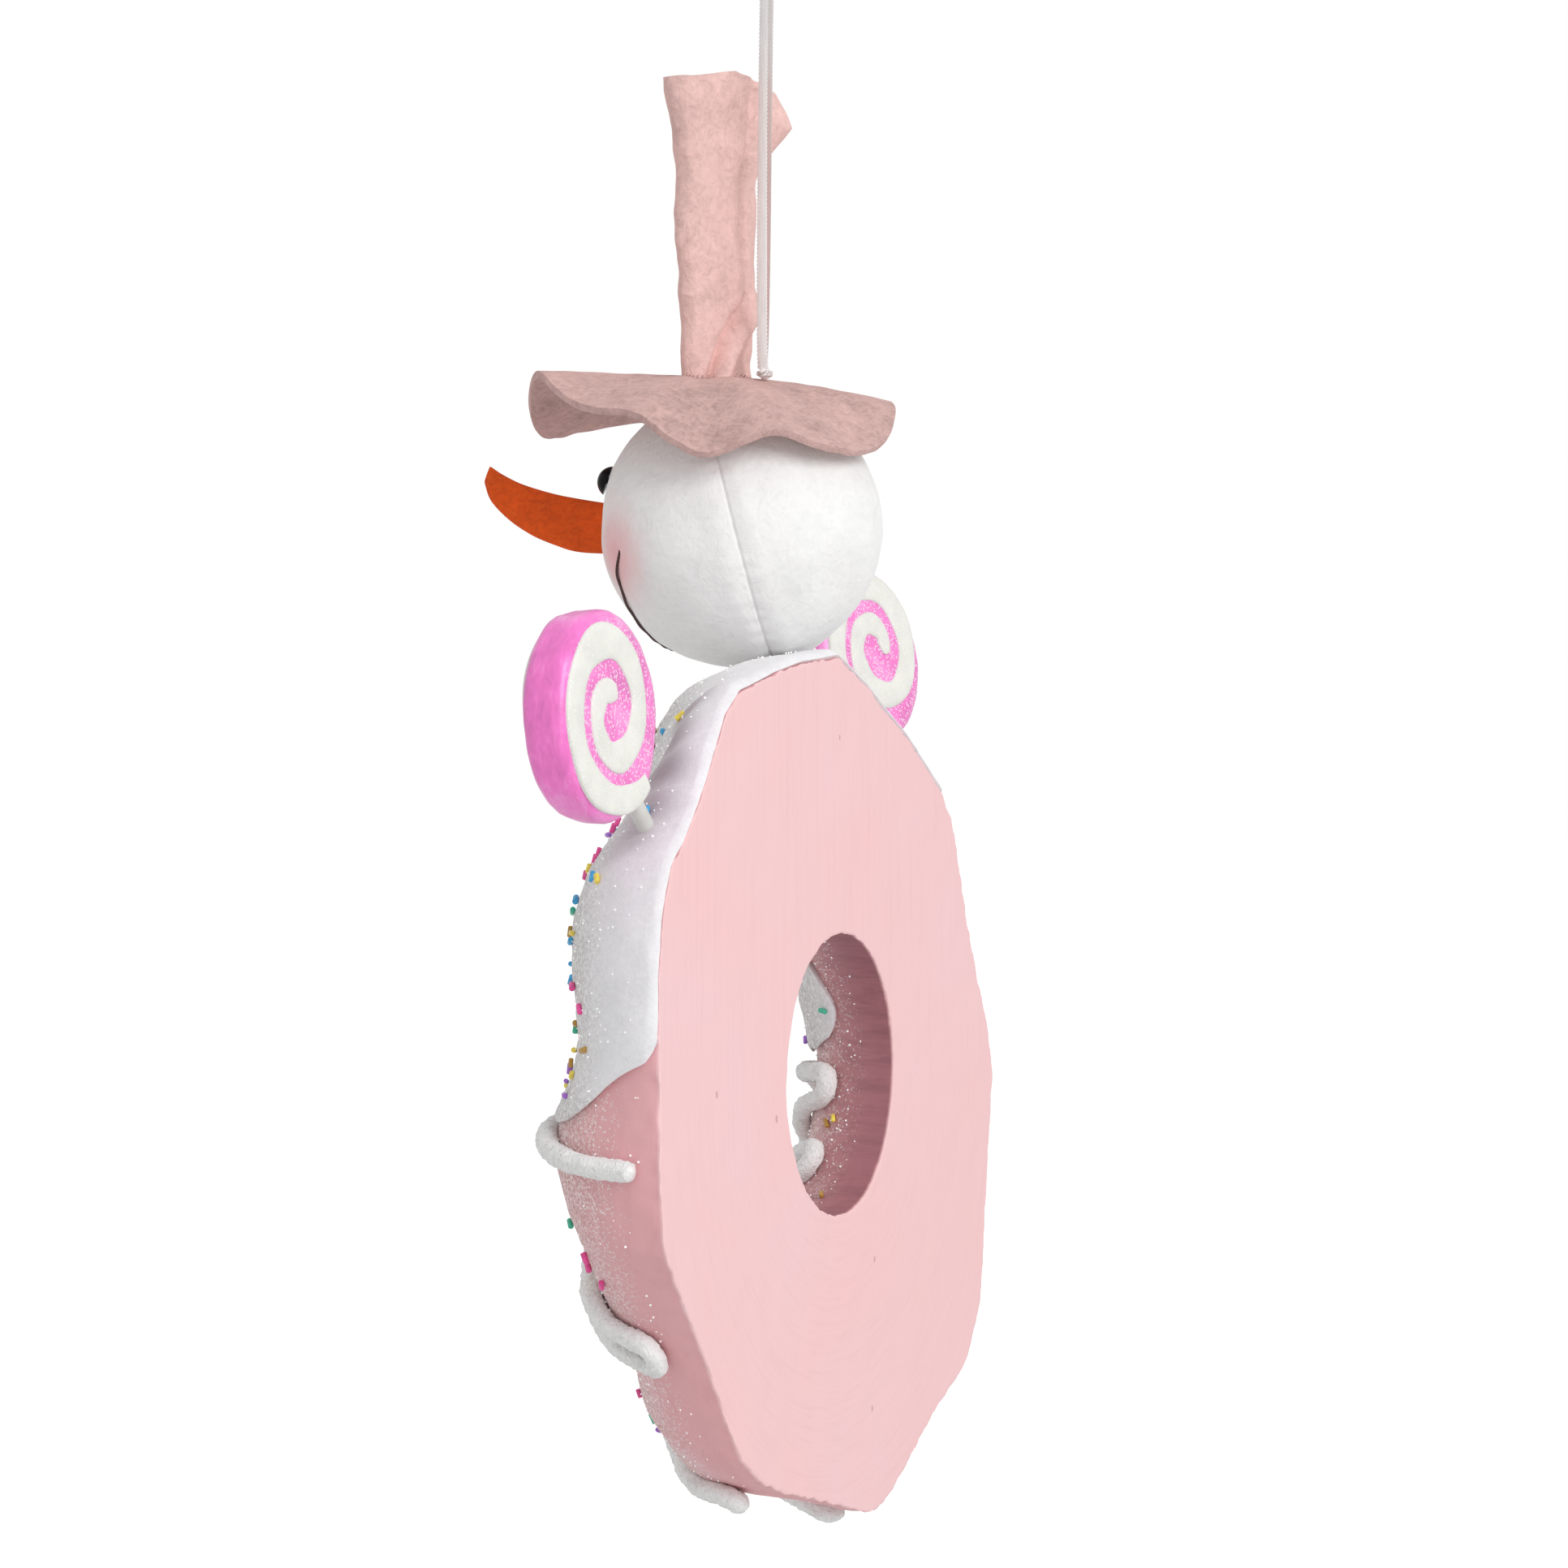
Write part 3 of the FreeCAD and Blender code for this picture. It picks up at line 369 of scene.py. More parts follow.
def smooth_path(points, step):
    """Evenly spaced points on a smooth curve through the given ones."""
    points = np.asarray(points, dtype=float)
    ends = np.vstack([2 * points[0] - points[1], points, 2 * points[-1] - points[-2]])
    fine = []
    for a, b, c, d in zip(ends, ends[1:], ends[2:], ends[3:]):
        for t in np.linspace(0, 1, 24, endpoint=False):
            fine.append(0.5 * (2 * b + (c - a) * t + (2 * a - 5 * b + 4 * c - d) * t ** 2
                               + (3 * b - a - 3 * c + d) * t ** 3))
    fine.append(points[-1])
    return evenly(np.array(fine), step)


def evenly(points, step):
    runs = np.linalg.norm(np.diff(points, axis=0), axis=1)
    along = np.concatenate([[0], np.cumsum(runs)])
    count = max(2, int(round(along[-1] / step)) + 1)
    wanted = np.linspace(0, along[-1], count)
    return np.stack([np.interp(wanted, along, points[:, axis]) for axis in range(3)], axis=1)


def lumps(points, scale, seed=0.0):
    """Smooth noise at each point, from about -1 to 1, with lumps about scale apart."""
    shift = Vector((seed * 7.13, seed * 3.7, seed * 1.9))
    flat = np.asarray(points).reshape(-1, 3) / scale
    values = [noise.noise(Vector(point) + shift) for point in flat]
    return np.array(values).reshape(np.asarray(points).shape[:-1]) * 1.6


def bell(distance, width):
    return np.exp(-(distance / width) ** 2)


def near_nought(angle):
    """An angle brought within half a turn of nought."""
    return (angle + 180) % 360 - 180


def softened(values, kernel, ends="edge"):
    return np.convolve(np.pad(values, len(kernel) // 2, mode=ends), kernel / kernel.sum(),
                       mode="valid")


# ---------------------------------------------------------------- the ring's surface
@lru_cache
def outline_table(ring_radius):
    """The ring's closed outline, seen from the front: its points and the way it runs."""
    angles = np.radians(np.arange(len(OUTLINE_OFFSETS)) * 360 / len(OUTLINE_OFFSETS))
    radii = ring_radius + np.array(OUTLINE_OFFSETS)
    knots = np.stack([radii * np.cos(angles), radii * np.sin(angles)], axis=1)
    count = len(knots)
    runs = np.linalg.norm(np.roll(knots, -1, axis=0) - knots, axis=1)
    matrix = np.zeros((count, count))
    right = np.zeros((count, 2))
    for place in range(count):
        before, after = runs[place - 1], runs[place]
        matrix[place, place - 1] = before
        matrix[place, place] = 2 * (before + after)
        matrix[place, (place + 1) % count] = after
        rise = (knots[(place + 1) % count] - knots[place]) / after
        fall = (knots[place] - knots[place - 1]) / before
        right[place] = 6 * (rise - fall)
    bends = np.linalg.solve(matrix, right)
    points = []
    for place in range(count):
        run, later = runs[place], (place + 1) % count
        for along in np.linspace(0, run, 120, endpoint=False):
            back = run - along
            points.append(
                bends[place] * back ** 3 / (6 * run) + bends[later] * along ** 3 / (6 * run)
                + (knots[place] / run - bends[place] * run / 6) * back
                + (knots[later] / run - bends[later] * run / 6) * along)
    points = np.array(points)
    return points, unit(np.roll(points, -1, axis=0) - np.roll(points, 1, axis=0))


def cut_table():
    """The distance of the hand-cut edge from the middle, for each tenth of a degree."""
    turn, reach = np.radians(CUT_EDGE[:, 0]), CUT_EDGE[:, 1]
    corners = np.stack([reach * np.cos(turn), reach * np.sin(turn)], axis=1)
    runs = []
    for place, corner in enumerate(corners):
        later = corners[(place + 1) % len(corners)]
        share = np.linspace(0, 1, 60, endpoint=False)[:, None]
        runs.append(corner + (later - corner) * share)
    line = np.concatenate(runs)
    angles = np.degrees(np.arctan2(line[:, 1], line[:, 0])) % 360
    order = np.argsort(angles)
    reach = np.interp(np.arange(0, 360, 0.1), angles[order],
                      np.hypot(line[:, 0], line[:, 1])[order], period=360)
    return softened(reach, np.hanning(27), "wrap")


CUT_REACH = cut_table()


def relief(angle, across):
    """How far the hand-worked surface stands off the plain ring, in millimetres."""
    angle, across = np.broadcast_arrays(np.asarray(angle, float), np.asarray(across, float))
    swells = sum(height * bell(near_nought(angle - place), spread) * bell(across - line, width)
                 for height, place, spread, line, width in SWELLS)
    aslant = DENT_ANGLE + DENT_SLANT * (across - DENT_ACROSS)
    dent = DENT_HEIGHT * bell(near_nought(angle) - aslant, 15) * bell(across - 2.5, 0.33)
    turn = np.radians(angle)
    soft = np.stack([np.cos(turn) * 3.1, np.sin(turn) * 3.1, across * 1.7], axis=-1)
    fade = np.clip((3.05 - across) / 0.35, 0, 1) * np.clip((across + 0.1) / 0.4, 0, 1)
    worked = np.interp(near_nought(angle), *WORKED_SIDE.T, left=0, right=0)
    worked = worked * bell(across - 2.3, 0.5) * np.clip((3.1 - across) / 0.3, 0, 1)
    return swells + dent + worked + 0.45 * lumps(soft, 1.0, seed=2.0) * fade


def dome(angle, across, lift=0.0, worked=True):
    """Points on the ring's front and walls, lifted off it, and the way it faces there."""
    angle, across, lift = np.broadcast_arrays(
        np.asarray(angle, float), np.asarray(across, float), np.asarray(lift, float))
    shape = angle.shape
    angle, across, lift = angle.ravel(), across.ravel(), lift.ravel().copy()
    if worked:
        lift = lift + relief(angle, np.clip(across, 0, 3))
    unique, back = np.unique(angle, return_inverse=True)
    turn = np.radians(unique)
    radial2 = np.stack([np.cos(turn), np.sin(turn)], axis=1)
    ring_radius, hole = size_of("ring_radius"), size_of("hole_radius")
    outline, outline_ahead = outline_table(ring_radius)
    target = radial2 * ring_radius
    gaps = ((target[:, None] - outline[None]) ** 2).sum(axis=2)
    nearest = gaps.argmin(axis=1)
    ahead, near = outline_ahead[nearest], outline[nearest]
    slip = ((target - near) * ahead).sum(axis=1)
    edge2 = near + ahead * slip[:, None]
    outward2 = np.stack([ahead[:, 1], -ahead[:, 0]], axis=1)
    radial2, edge2, outward2 = radial2[back], edge2[back], outward2[back]

    def placed(pair, depth):
        level = np.full(len(pair), FRONT_PLANE + depth)
        return np.stack([pair[:, 0], level, pair[:, 1] + RING_CENTRE[2]], axis=1)

    inner = placed(radial2 * (hole + INNER_ROUND), INNER_ROUND)
    outer = placed(edge2 - outward2 * OUTER_ROUND, OUTER_ROUND)
    inner_swing = np.radians(90 * np.clip(across, 0, 1))
    outer_swing = np.radians(90 * np.clip(across - 2, 0, 1))
    inner_normal = np.stack([-radial2[:, 0] * np.cos(inner_swing), -np.sin(inner_swing),
                             -radial2[:, 1] * np.cos(inner_swing)], axis=1)
    outer_normal = np.stack([outward2[:, 0] * np.sin(outer_swing), -np.cos(outer_swing),
                             outward2[:, 1] * np.sin(outer_swing)], axis=1)
    on_inner = inner + inner_normal * (INNER_ROUND + lift)[:, None]
    on_outer = outer + outer_normal * (OUTER_ROUND + lift)[:, None]
    start = inner + np.array((0, -1, 0)) * (INNER_ROUND + lift)[:, None]
    stop = outer + np.array((0, -1, 0)) * (OUTER_ROUND + lift)[:, None]
    on_flat = start + (stop - start) * np.clip(across - 1, 0, 1)[:, None]
    points = np.where((across < 1)[:, None], on_inner,
                      np.where((across > 2)[:, None], on_outer, on_flat))
    points[:, 1] += WALL_UNIT * (np.clip(-across, 0, None) + np.clip(across - 3, 0, None))
    if worked:
        turn = np.degrees(np.arctan2(edge2[:, 1], edge2[:, 0])) % 360
        reach = np.hypot(edge2[:, 0], edge2[:, 1])
        cut = np.interp(turn, np.arange(0, 360, 0.1), CUT_REACH, period=360) - reach
        push = (cut * np.clip(across - 1.9, 0, 1.1) ** 1.4 / reach)[:, None]
        points[:, 0] += (edge2 * push)[:, 0]
        points[:, 2] += (edge2 * push)[:, 1]
    normals = np.where((across < 1)[:, None], inner_normal, outer_normal)
    return points.reshape(shape + (3,)), normals.reshape(shape + (3,))


def head_place(turn, rise, radius):
    turn, rise = np.radians(turn), np.radians(rise)
    level = radius * np.cos(rise)
    return HEAD_CENTRE + np.stack([level * np.sin(turn), -level * np.cos(turn),
                                   radius * np.sin(rise)], axis=-1)


def wave(places, angle):
    """A smooth closed curve through (angle, value) pairs."""
    first = places[0, 0]
    angles = np.concatenate([places[:, 0] - 360, places[:, 0], places[:, 0] + 360])
    values = np.tile(places[:, 1], 3)
    wrapped = (np.asarray(angle, float) - first) % 360 + first
    at = np.clip(np.searchsorted(angles, wrapped) - 1, 1, len(angles) - 3)
    share = (wrapped - angles[at]) / (angles[at + 1] - angles[at])

    def slope(place):
        return (values[place + 1] - values[place - 1]) / (angles[place + 1] - angles[place - 1])

    width = angles[at + 1] - angles[at]
    t2, t3 = share ** 2, share ** 3
    return ((2 * t3 - 3 * t2 + 1) * values[at] + (t3 - 2 * t2 + share) * width * slope(at)
            + (3 * t2 - 2 * t3) * values[at + 1] + (t3 - t2) * width * slope(at + 1))


# ---------------------------------------------------------------- materials
def start_finish(name, roughness, **constants):
    material = bpy.data.materials.new(name)
    material.use_nodes = True
    shader = material.node_tree.nodes["Principled BSDF"]
    shader.inputs["Roughness"].default_value = roughness
    for socket, value in constants.items():
        shader.inputs[socket.replace("_", " ").title().replace("Ior", "IOR")].default_value = value
    coordinates = material.node_tree.nodes.new("ShaderNodeTexCoord").outputs["Object"]
    return material, material.node_tree, shader, coordinates


def node(tree, kind, inputs=None, **settings):
    item = tree.nodes.new(kind)
    for name, value in settings.items():
        setattr(item, name, value)
    for socket, value in (inputs or {}).items():
        if isinstance(value, bpy.types.NodeSocket):
            tree.links.new(value, item.inputs[socket])
        else:
            item.inputs[socket].default_value = value
    return item


def stretched(tree, vector, scale, turn=(0, 0, 0), location=(0, 0, 0)):
    return node(tree, "ShaderNodeMapping", {"Vector": vector, "Scale": scale, "Rotation": turn,
                                            "Location": location}).outputs[0]


def grain(tree, vector, scale, detail=2.0, distortion=0.0, rough=0.5):
    return node(tree, "ShaderNodeTexNoise", {
        "Vector": vector, "Scale": scale, "Detail": detail, "Distortion": distortion,
        "Roughness": rough}).outputs["Fac"]


def arithmetic(tree, operation, first, second=0.0, third=0.0):
    return node(tree, "ShaderNodeMath", {0: first, 1: second, 2: third},
                operation=operation).outputs[0]


def between(tree, value, low, high, start=0.0, stop=1.0):
    return node(tree, "ShaderNodeMapRange", {
        "Value": value, "From Min": low, "From Max": high, "To Min": start, "To Max": stop},
        interpolation_type="SMOOTHSTEP").outputs[0]


def shades(tree, value, stops):
    item = node(tree, "ShaderNodeValToRGB", {"Fac": value})
    ramp = item.color_ramp
    while len(ramp.elements) < len(stops):
        ramp.elements.new(0.5)
    for element, (place, colour) in zip(ramp.elements, stops):
        element.position = place
        element.color = tuple(colour) + (1.0,)
    return item.outputs["Color"]


def blended(tree, share, first, second, kind="MIX"):
    item = node(tree, "ShaderNodeMix", {"Factor": share}, data_type="RGBA", blend_type=kind)
    for socket, value in ((item.inputs[6], first), (item.inputs[7], second)):
        if isinstance(value, bpy.types.NodeSocket):
            tree.links.new(value, socket)
        else:
            socket.default_value = tuple(value) + (1.0,)
    return item.outputs[2]


def bumped(tree, shader, *layers):
    """Bump layers of (height, strength, distance), one on top of another."""
    normal = None
    for height, strength, distance in layers:
        inputs = {"Height": height, "Strength": strength, "Distance": distance}
        if normal is not None:
            inputs["Normal"] = normal
        normal = node(tree, "ShaderNodeBump", inputs).outputs[0]
    tree.links.new(normal, shader.inputs["Normal"])


def tinted(colour, factor):
    return tuple(min(1.0, channel * factor) for channel in colour)


def sparkle(tree, coordinates, density, few):
    """Tiny bright cells that stand for glitter: their mask, and a random colour per cell."""
    cells = node(tree, "ShaderNodeTexVoronoi", {"Vector": coordinates, "Scale": density},
                 feature="F1")
    value = node(tree, "ShaderNodeSeparateColor", {"Color": cells.outputs["Color"]}).outputs[0]
    core = arithmetic(tree, "LESS_THAN", cells.outputs["Distance"], 0.42)
    chosen = arithmetic(tree, "GREATER_THAN", value, 1.0 - few)
    return arithmetic(tree, "MULTIPLY", core, chosen), cells.outputs["Color"]


def frosting(tree, coordinates):
    """Grains of dried glitter glue, thick towards the front: a mask and the grains' height."""
    parts = node(tree, "ShaderNodeSeparateXYZ", {"Vector": coordinates}).outputs
    patches = grain(tree, coordinates, 55.0, 3)
    depth = arithmetic(tree, "MULTIPLY_ADD", patches, 0.012, parts["Y"])
    front = between(tree, depth, -0.004, 0.016, 1.0, 0.0)
    return front, grain(tree, coordinates, 1150.0, 2, 0.8)


def felt_finish(name, colour, contrast=0.16, fuzz=0.5, fibre=900.0, depth=0.0004, sheen=0.35,
                extra=None, frosted=False):
    """Pressed felt: crossing fibres, soft blotches and a fuzzy nap."""
    material, tree, shader, coordinates = start_finish(
        name, 0.95, sheen_weight=sheen, sheen_roughness=0.6)
    shader.inputs["Sheen Tint"].default_value = tinted(colour, 1.25) + (1.0,)
    one = grain(tree, stretched(tree, coordinates, (1, 0.28, 0.6), (0.5, 0.9, 0.3)), fibre, 3, 1.4)
    two = grain(tree, stretched(tree, coordinates, (0.3, 1, 0.7), (0.2, 0.4, 1.3)), fibre, 3, 1.4)
    fibres = arithmetic(tree, "MULTIPLY_ADD", one, 0.5, arithmetic(tree, "MULTIPLY", two, 0.5))
    blotches = grain(tree, coordinates, 90.0, 4, 0.3)
    mixed = arithmetic(tree, "MULTIPLY_ADD", blotches, 0.35,
                       arithmetic(tree, "MULTIPLY", fibres, 0.65))
    painted = shades(tree, mixed, [(0.36, tinted(colour, 1 - contrast)), (0.5, colour),
                                   (0.64, tinted(colour, 1 + contrast * 0.8))])
    if extra is not None:
        painted = extra(tree, coordinates, painted)
    layers = [(blotches, 0.35, depth * 2), (fibres, fuzz, depth)]
    if frosted:
        front, grains = frosting(tree, coordinates)
        speckle = shades(tree, grains, [(0.34, (0.40, 0.38, 0.36)), (0.5, (0.66, 0.63, 0.61)),
                                        (0.64, (1.0, 1.0, 0.98))])
        painted = blended(tree, arithmetic(tree, "MULTIPLY", front, 0.75), painted, speckle)
        layers.append((arithmetic(tree, "MULTIPLY", grains, front), 0.7, 0.0009))
    tree.links.new(painted, shader.inputs["Base Color"])
    bumped(tree, shader, *layers)
    return material


def foam_finish(name):
    """Brushed pink paint over cut foam, frosted with glitter in front; paler on the flat back and
    deeper pink round the side, partly painted light and shade, and darker in the hole and in small
    pits as painted shade.
    """
    foam, shaded_foam_side = colour_of("foam"), colour_of("shaded_foam_side")
    material, tree, shader, coordinates = start_finish(name, 0.62)
    centred = stretched(tree, coordinates, (1, 1, 1), location=(0, -RING_CENTRE[1] * MM,
                                                                -RING_CENTRE[2] * MM))
    parts = node(tree, "ShaderNodeSeparateXYZ", {"Vector": centred}).outputs
    radius = arithmetic(tree, "SQRT", arithmetic(
        tree, "MULTIPLY_ADD", parts["X"], parts["X"],
        arithmetic(tree, "MULTIPLY", parts["Z"], parts["Z"])))
    turn = arithmetic(tree, "ARCTAN2", parts["Z"], parts["X"])
    polar = node(tree, "ShaderNodeCombineXYZ", {
        "X": arithmetic(tree, "MULTIPLY", radius, 1000.0),
        "Y": arithmetic(tree, "MULTIPLY", turn, 4.0),
        "Z": arithmetic(tree, "MULTIPLY", parts["Y"], 260.0)}).outputs[0]
    arcs = grain(tree, polar, 0.85, 5, 0.15, 0.62)
    upright = grain(tree, stretched(tree, coordinates, (620, 400, 24)), 1.0, 5, 0.5, 0.65)
    below = between(tree, parts["Z"], -0.02, 0.03)
    strokes = arithmetic(tree, "ADD", arithmetic(tree, "MULTIPLY", arcs, arithmetic(
        tree, "SUBTRACT", 1.0, below)), arithmetic(tree, "MULTIPLY", upright, below))
    clouds = grain(tree, coordinates, 22.0, 3, 0.4)
    # off the flat back the paint turns the deeper side pink: partly the paint's own colour, partly
    # painted shade on the side and painted light on the back
    side = between(tree, parts["Y"], -0.0012, -0.0003, 1.0, 0.0)
    base = blended(tree, side, foam, shaded_foam_side)
    # the hole's wall darkens to dark mauve towards the back: painted shade deep in the hole, over a
    # deeper pink of its own
    in_hole = arithmetic(tree, "MULTIPLY", side, between(tree, radius, 0.036, 0.048, 1.0, 0.0))
    deep = between(tree, parts["Y"], -0.030, -0.002)
    wall = blended(tree, deep, tinted(shaded_foam_side, 0.95), (0.38, 0.155, 0.18))
    scraped = grain(tree, stretched(tree, coordinates, (420, 60, 420)), 1.0, 5, 0.6, 0.65)
    wall = blended(tree, 0.4, wall, shades(tree, scraped, [
        (0.35, (0.6, 0.55, 0.56)), (0.55, (1.1, 1.05, 1.05))]), "MULTIPLY")
    base = blended(tree, in_hole, base, wall)
    pale = shades(tree, clouds, [(0.3, (1.0, 0.97, 0.96)), (0.7, (0.97, 1.0, 1.02))])
    base = blended(tree, 1.0, base, pale, "MULTIPLY")
    streaks = shades(tree, strokes, [(0.3, (0.93, 0.90, 0.90)), (0.5, (1, 1, 1)),
                                     (0.72, (1.0, 1.0, 1.0))])
    base = blended(tree, between(tree, side, 0.0, 1.0, 0.45, 0.9), base, streaks, "MULTIPLY")
    peel = grain(tree, coordinates, 520.0, 3)
    # small pits are painted a darker copy of the side pink: painted shade in the pits
    pits = node(tree, "ShaderNodeTexVoronoi", {
        "Vector": stretched(tree, coordinates, (1, 1, 0.6), (0.2, 0.6, 0.1)), "Scale": 95.0},
        feature="F1")
    pit_value = node(tree, "ShaderNodeSeparateColor", {"Color": pits.outputs["Color"]}).outputs[0]
    shaded_pit = arithmetic(tree, "MULTIPLY",
                     arithmetic(tree, "LESS_THAN", pits.outputs["Distance"], 0.055),
                     arithmetic(tree, "GREATER_THAN", pit_value, 0.72))
    base = blended(tree, arithmetic(tree, "MULTIPLY", shaded_pit, 0.6), base,
                   tinted(shaded_foam_side, 0.62))
    front, grains = frosting(tree, coordinates)
    speckle = shades(tree, grains, [(0.36, (0.42, 0.25, 0.25)), (0.5, (0.70, 0.50, 0.48)),
                                    (0.64, (1.0, 0.93, 0.90))])
    base = blended(tree, arithmetic(tree, "MULTIPLY", front, 0.7), base, speckle)
    flakes = arithmetic(tree, "MULTIPLY", sparkle(tree, coordinates, 1500.0, 0.35)[0],
                        between(tree, parts["Y"], -0.020, -0.006, 1, 0))
    base = blended(tree, arithmetic(tree, "MULTIPLY", flakes, 0.75), base, (0.95, 0.9, 0.9))
    tree.links.new(base, shader.inputs["Base Color"])
    gloss = between(tree, flakes, 0.0, 1.0, 0.62, 0.18)
    tree.links.new(gloss, shader.inputs["Roughness"])
    bumped(tree, shader, (clouds, 0.25, 0.0006), (strokes, 0.45, 0.00022), (peel, 0.3, 0.0002),
           (arithmetic(tree, "MULTIPLY", grains, front), 0.6, 0.0007),
           (arithmetic(tree, "MULTIPLY", shaded_pit, -1.0), 0.9, 0.0005), (flakes, 0.6, 0.0003))
    return material


def icing_hollow_shade(tree, coordinates, painted):
    """Painted violet-grey shade in the hollow of the right shoulder."""
    hollow_shade = None
    for place in HOLLOW_SHADE_PLACES:
        away = node(tree, "ShaderNodeVectorMath", {0: coordinates, 1: place}, operation="DISTANCE")
        near = between(tree, away.outputs["Value"], 0.002, 0.0135, 1.0, 0.0)
        hollow_shade = near if hollow_shade is None else arithmetic(tree, "MAXIMUM", hollow_shade, near)
    # the felt's colour turns violet-grey round these places: painted shade in the hollow
    return blended(tree, arithmetic(tree, "MULTIPLY", hollow_shade, 0.95), painted, (0.22, 0.135, 0.17))


def fleece_extra(tree, coordinates, painted):
    """Pink blush on both cheeks."""
    for sign in (1, -1):
        middle = head_place(sign * CHEEK_TURN, CHEEK_RISE, HEAD_RADIUS) * MM
        away = node(tree, "ShaderNodeVectorMath", {0: coordinates, 1: tuple(middle)},
                    operation="DISTANCE").outputs["Value"]
        ragged = arithmetic(tree, "MULTIPLY_ADD", grain(tree, coordinates, 160.0, 3), 0.006, away)
        near = between(tree, ragged, 0.004, 0.0215, 1.0, 0.0)
        painted = blended(tree, arithmetic(tree, "MULTIPLY", near, 0.72), painted,
                          colour_of("blush"))
    return painted


def candy_finish(name, colour):
    """Brushed glossy pink, with glitter on the two faces."""
    material, tree, shader, coordinates = start_finish(
        name, 0.34, coat_weight=0.35, coat_roughness=0.2)
    brushed = grain(tree, stretched(tree, coordinates, (260, 700, 260)), 1.0, 5, 0.6, 0.6)
    clouds = grain(tree, coordinates, 75.0, 3, 0.5)
    painted = shades(tree, arithmetic(tree, "MULTIPLY_ADD", clouds, 0.6, arithmetic(
        tree, "MULTIPLY", brushed, 0.4)), [
        (0.36, tinted(colour, 0.80)), (0.5, colour), (0.66, (1.0, 0.36, 0.76))])
    face = node(tree, "ShaderNodeSeparateXYZ", {"Vector": node(
        tree, "ShaderNodeNewGeometry").outputs["Normal"]}).outputs["Y"]
    on_face = between(tree, arithmetic(tree, "ABSOLUTE", face), 0.88, 0.97)
    flakes = arithmetic(tree, "MULTIPLY", sparkle(tree, coordinates, 1500.0, 0.6)[0], on_face)
    painted = blended(tree, arithmetic(tree, "MULTIPLY", flakes, 0.85), painted, (1.0, 0.74, 0.9))
    tree.links.new(painted, shader.inputs["Base Color"])
    bumped(tree, shader, (clouds, 0.5, 0.0012), (brushed, 0.35, 0.0004), (flakes, 0.7, 0.0003))
    return material


def glitter_finish(name, colour):
    """White paint thick with glitter."""
    material, tree, shader, coordinates = start_finish(name, 0.4)
    flakes, hues = sparkle(tree, coordinates, 1900.0, 0.7)
    clouds = grain(tree, coordinates, 160.0, 3)
    painted = shades(tree, clouds, [(0.3, tinted(colour, 0.86)), (0.7, tinted(colour, 0.97))])
    tint = blended(tree, 0.12, (1.0, 1.0, 0.98), hues)
    painted = blended(tree, arithmetic(tree, "MULTIPLY", flakes, 0.9), painted, tint)
    tree.links.new(painted, shader.inputs["Base Color"])
    tree.links.new(between(tree, flakes, 0.0, 1.0, 0.6, 0.15), shader.inputs["Roughness"])
    bumped(tree, shader, (clouds, 0.5, 0.0006), (flakes, 0.8, 0.0003))
    return material


def satin_finish(name, colour):
    """Woven satin: fine ribs across the ribbon and a soft sheen."""
    material, tree, shader, coordinates = start_finish(
        name, 0.38, sheen_weight=0.4, anisotropic=0.5)
    ribs = node(tree, "ShaderNodeTexWave", {
        "Vector": coordinates, "Scale": 900.0, "Distortion": 0.6, "Detail": 1.0},
        bands_direction="Z").outputs["Fac"]
    threads = grain(tree, stretched(tree, coordinates, (3000, 3000, 200)), 1.0, 2)
    painted = shades(tree, threads, [(0.3, tinted(colour, 0.9)), (0.7, tinted(colour, 1.06))])
    tree.links.new(painted, shader.inputs["Base Color"])
    bumped(tree, shader, (ribs, 0.35, 0.00008), (threads, 0.25, 0.00006))
    return material


def moulded_finish(name, colour, roughness=0.3, mottle=0.1, scale=400.0, depth=0.00006, coat=0.3,
                   shine=0.5):
    """Moulded or dipped plastic, faintly mottled and orange-peeled."""
    material, tree, shader, coordinates = start_finish(
        name, roughness, coat_weight=coat, coat_roughness=0.15)
    shader.inputs["Specular IOR Level"].default_value = shine
    peel = grain(tree, coordinates, scale, 3)
    painted = shades(tree, peel, [(0.3, tinted(colour, 1 - mottle)),
                                  (0.7, tinted(colour, 1 + mottle))])
    tree.links.new(painted, shader.inputs["Base Color"])
    bumped(tree, shader, (peel, 0.4, depth))
    return material


def thread_finish(name, colour):
    """Twisted sewing thread."""
    material, tree, shader, coordinates = start_finish(name, 0.75, sheen_weight=0.3)
    twist = node(tree, "ShaderNodeTexWave", {
        "Vector": stretched(tree, coordinates, (1, 1, 1), (0.6, 0.5, 0.2)), "Scale": 520.0,
        "Distortion": 1.0}).outputs["Fac"]
    # lighter and darker bands along the twist: painted light and shade on the plies
    painted = shades(tree, twist, [(0.2, tinted(colour, 0.7)), (0.8, tinted(colour, 1.3))])
    tree.links.new(painted, shader.inputs["Base Color"])
    bumped(tree, shader, (twist, 0.6, 0.00012))
    return material


def floor_finish(name, colour):
    material, tree, shader, coordinates = start_finish(name, 0.9)
    speckle = grain(tree, coordinates, 40.0, 3)
    painted = shades(tree, speckle, [(0.3, tinted(colour, 0.99)), (0.7, colour)])
    tree.links.new(painted, shader.inputs["Base Color"])
    shader.inputs["Emission Color"].default_value = (1, 1, 1, 1)
    shader.inputs["Emission Strength"].default_value = 0.45
    return material


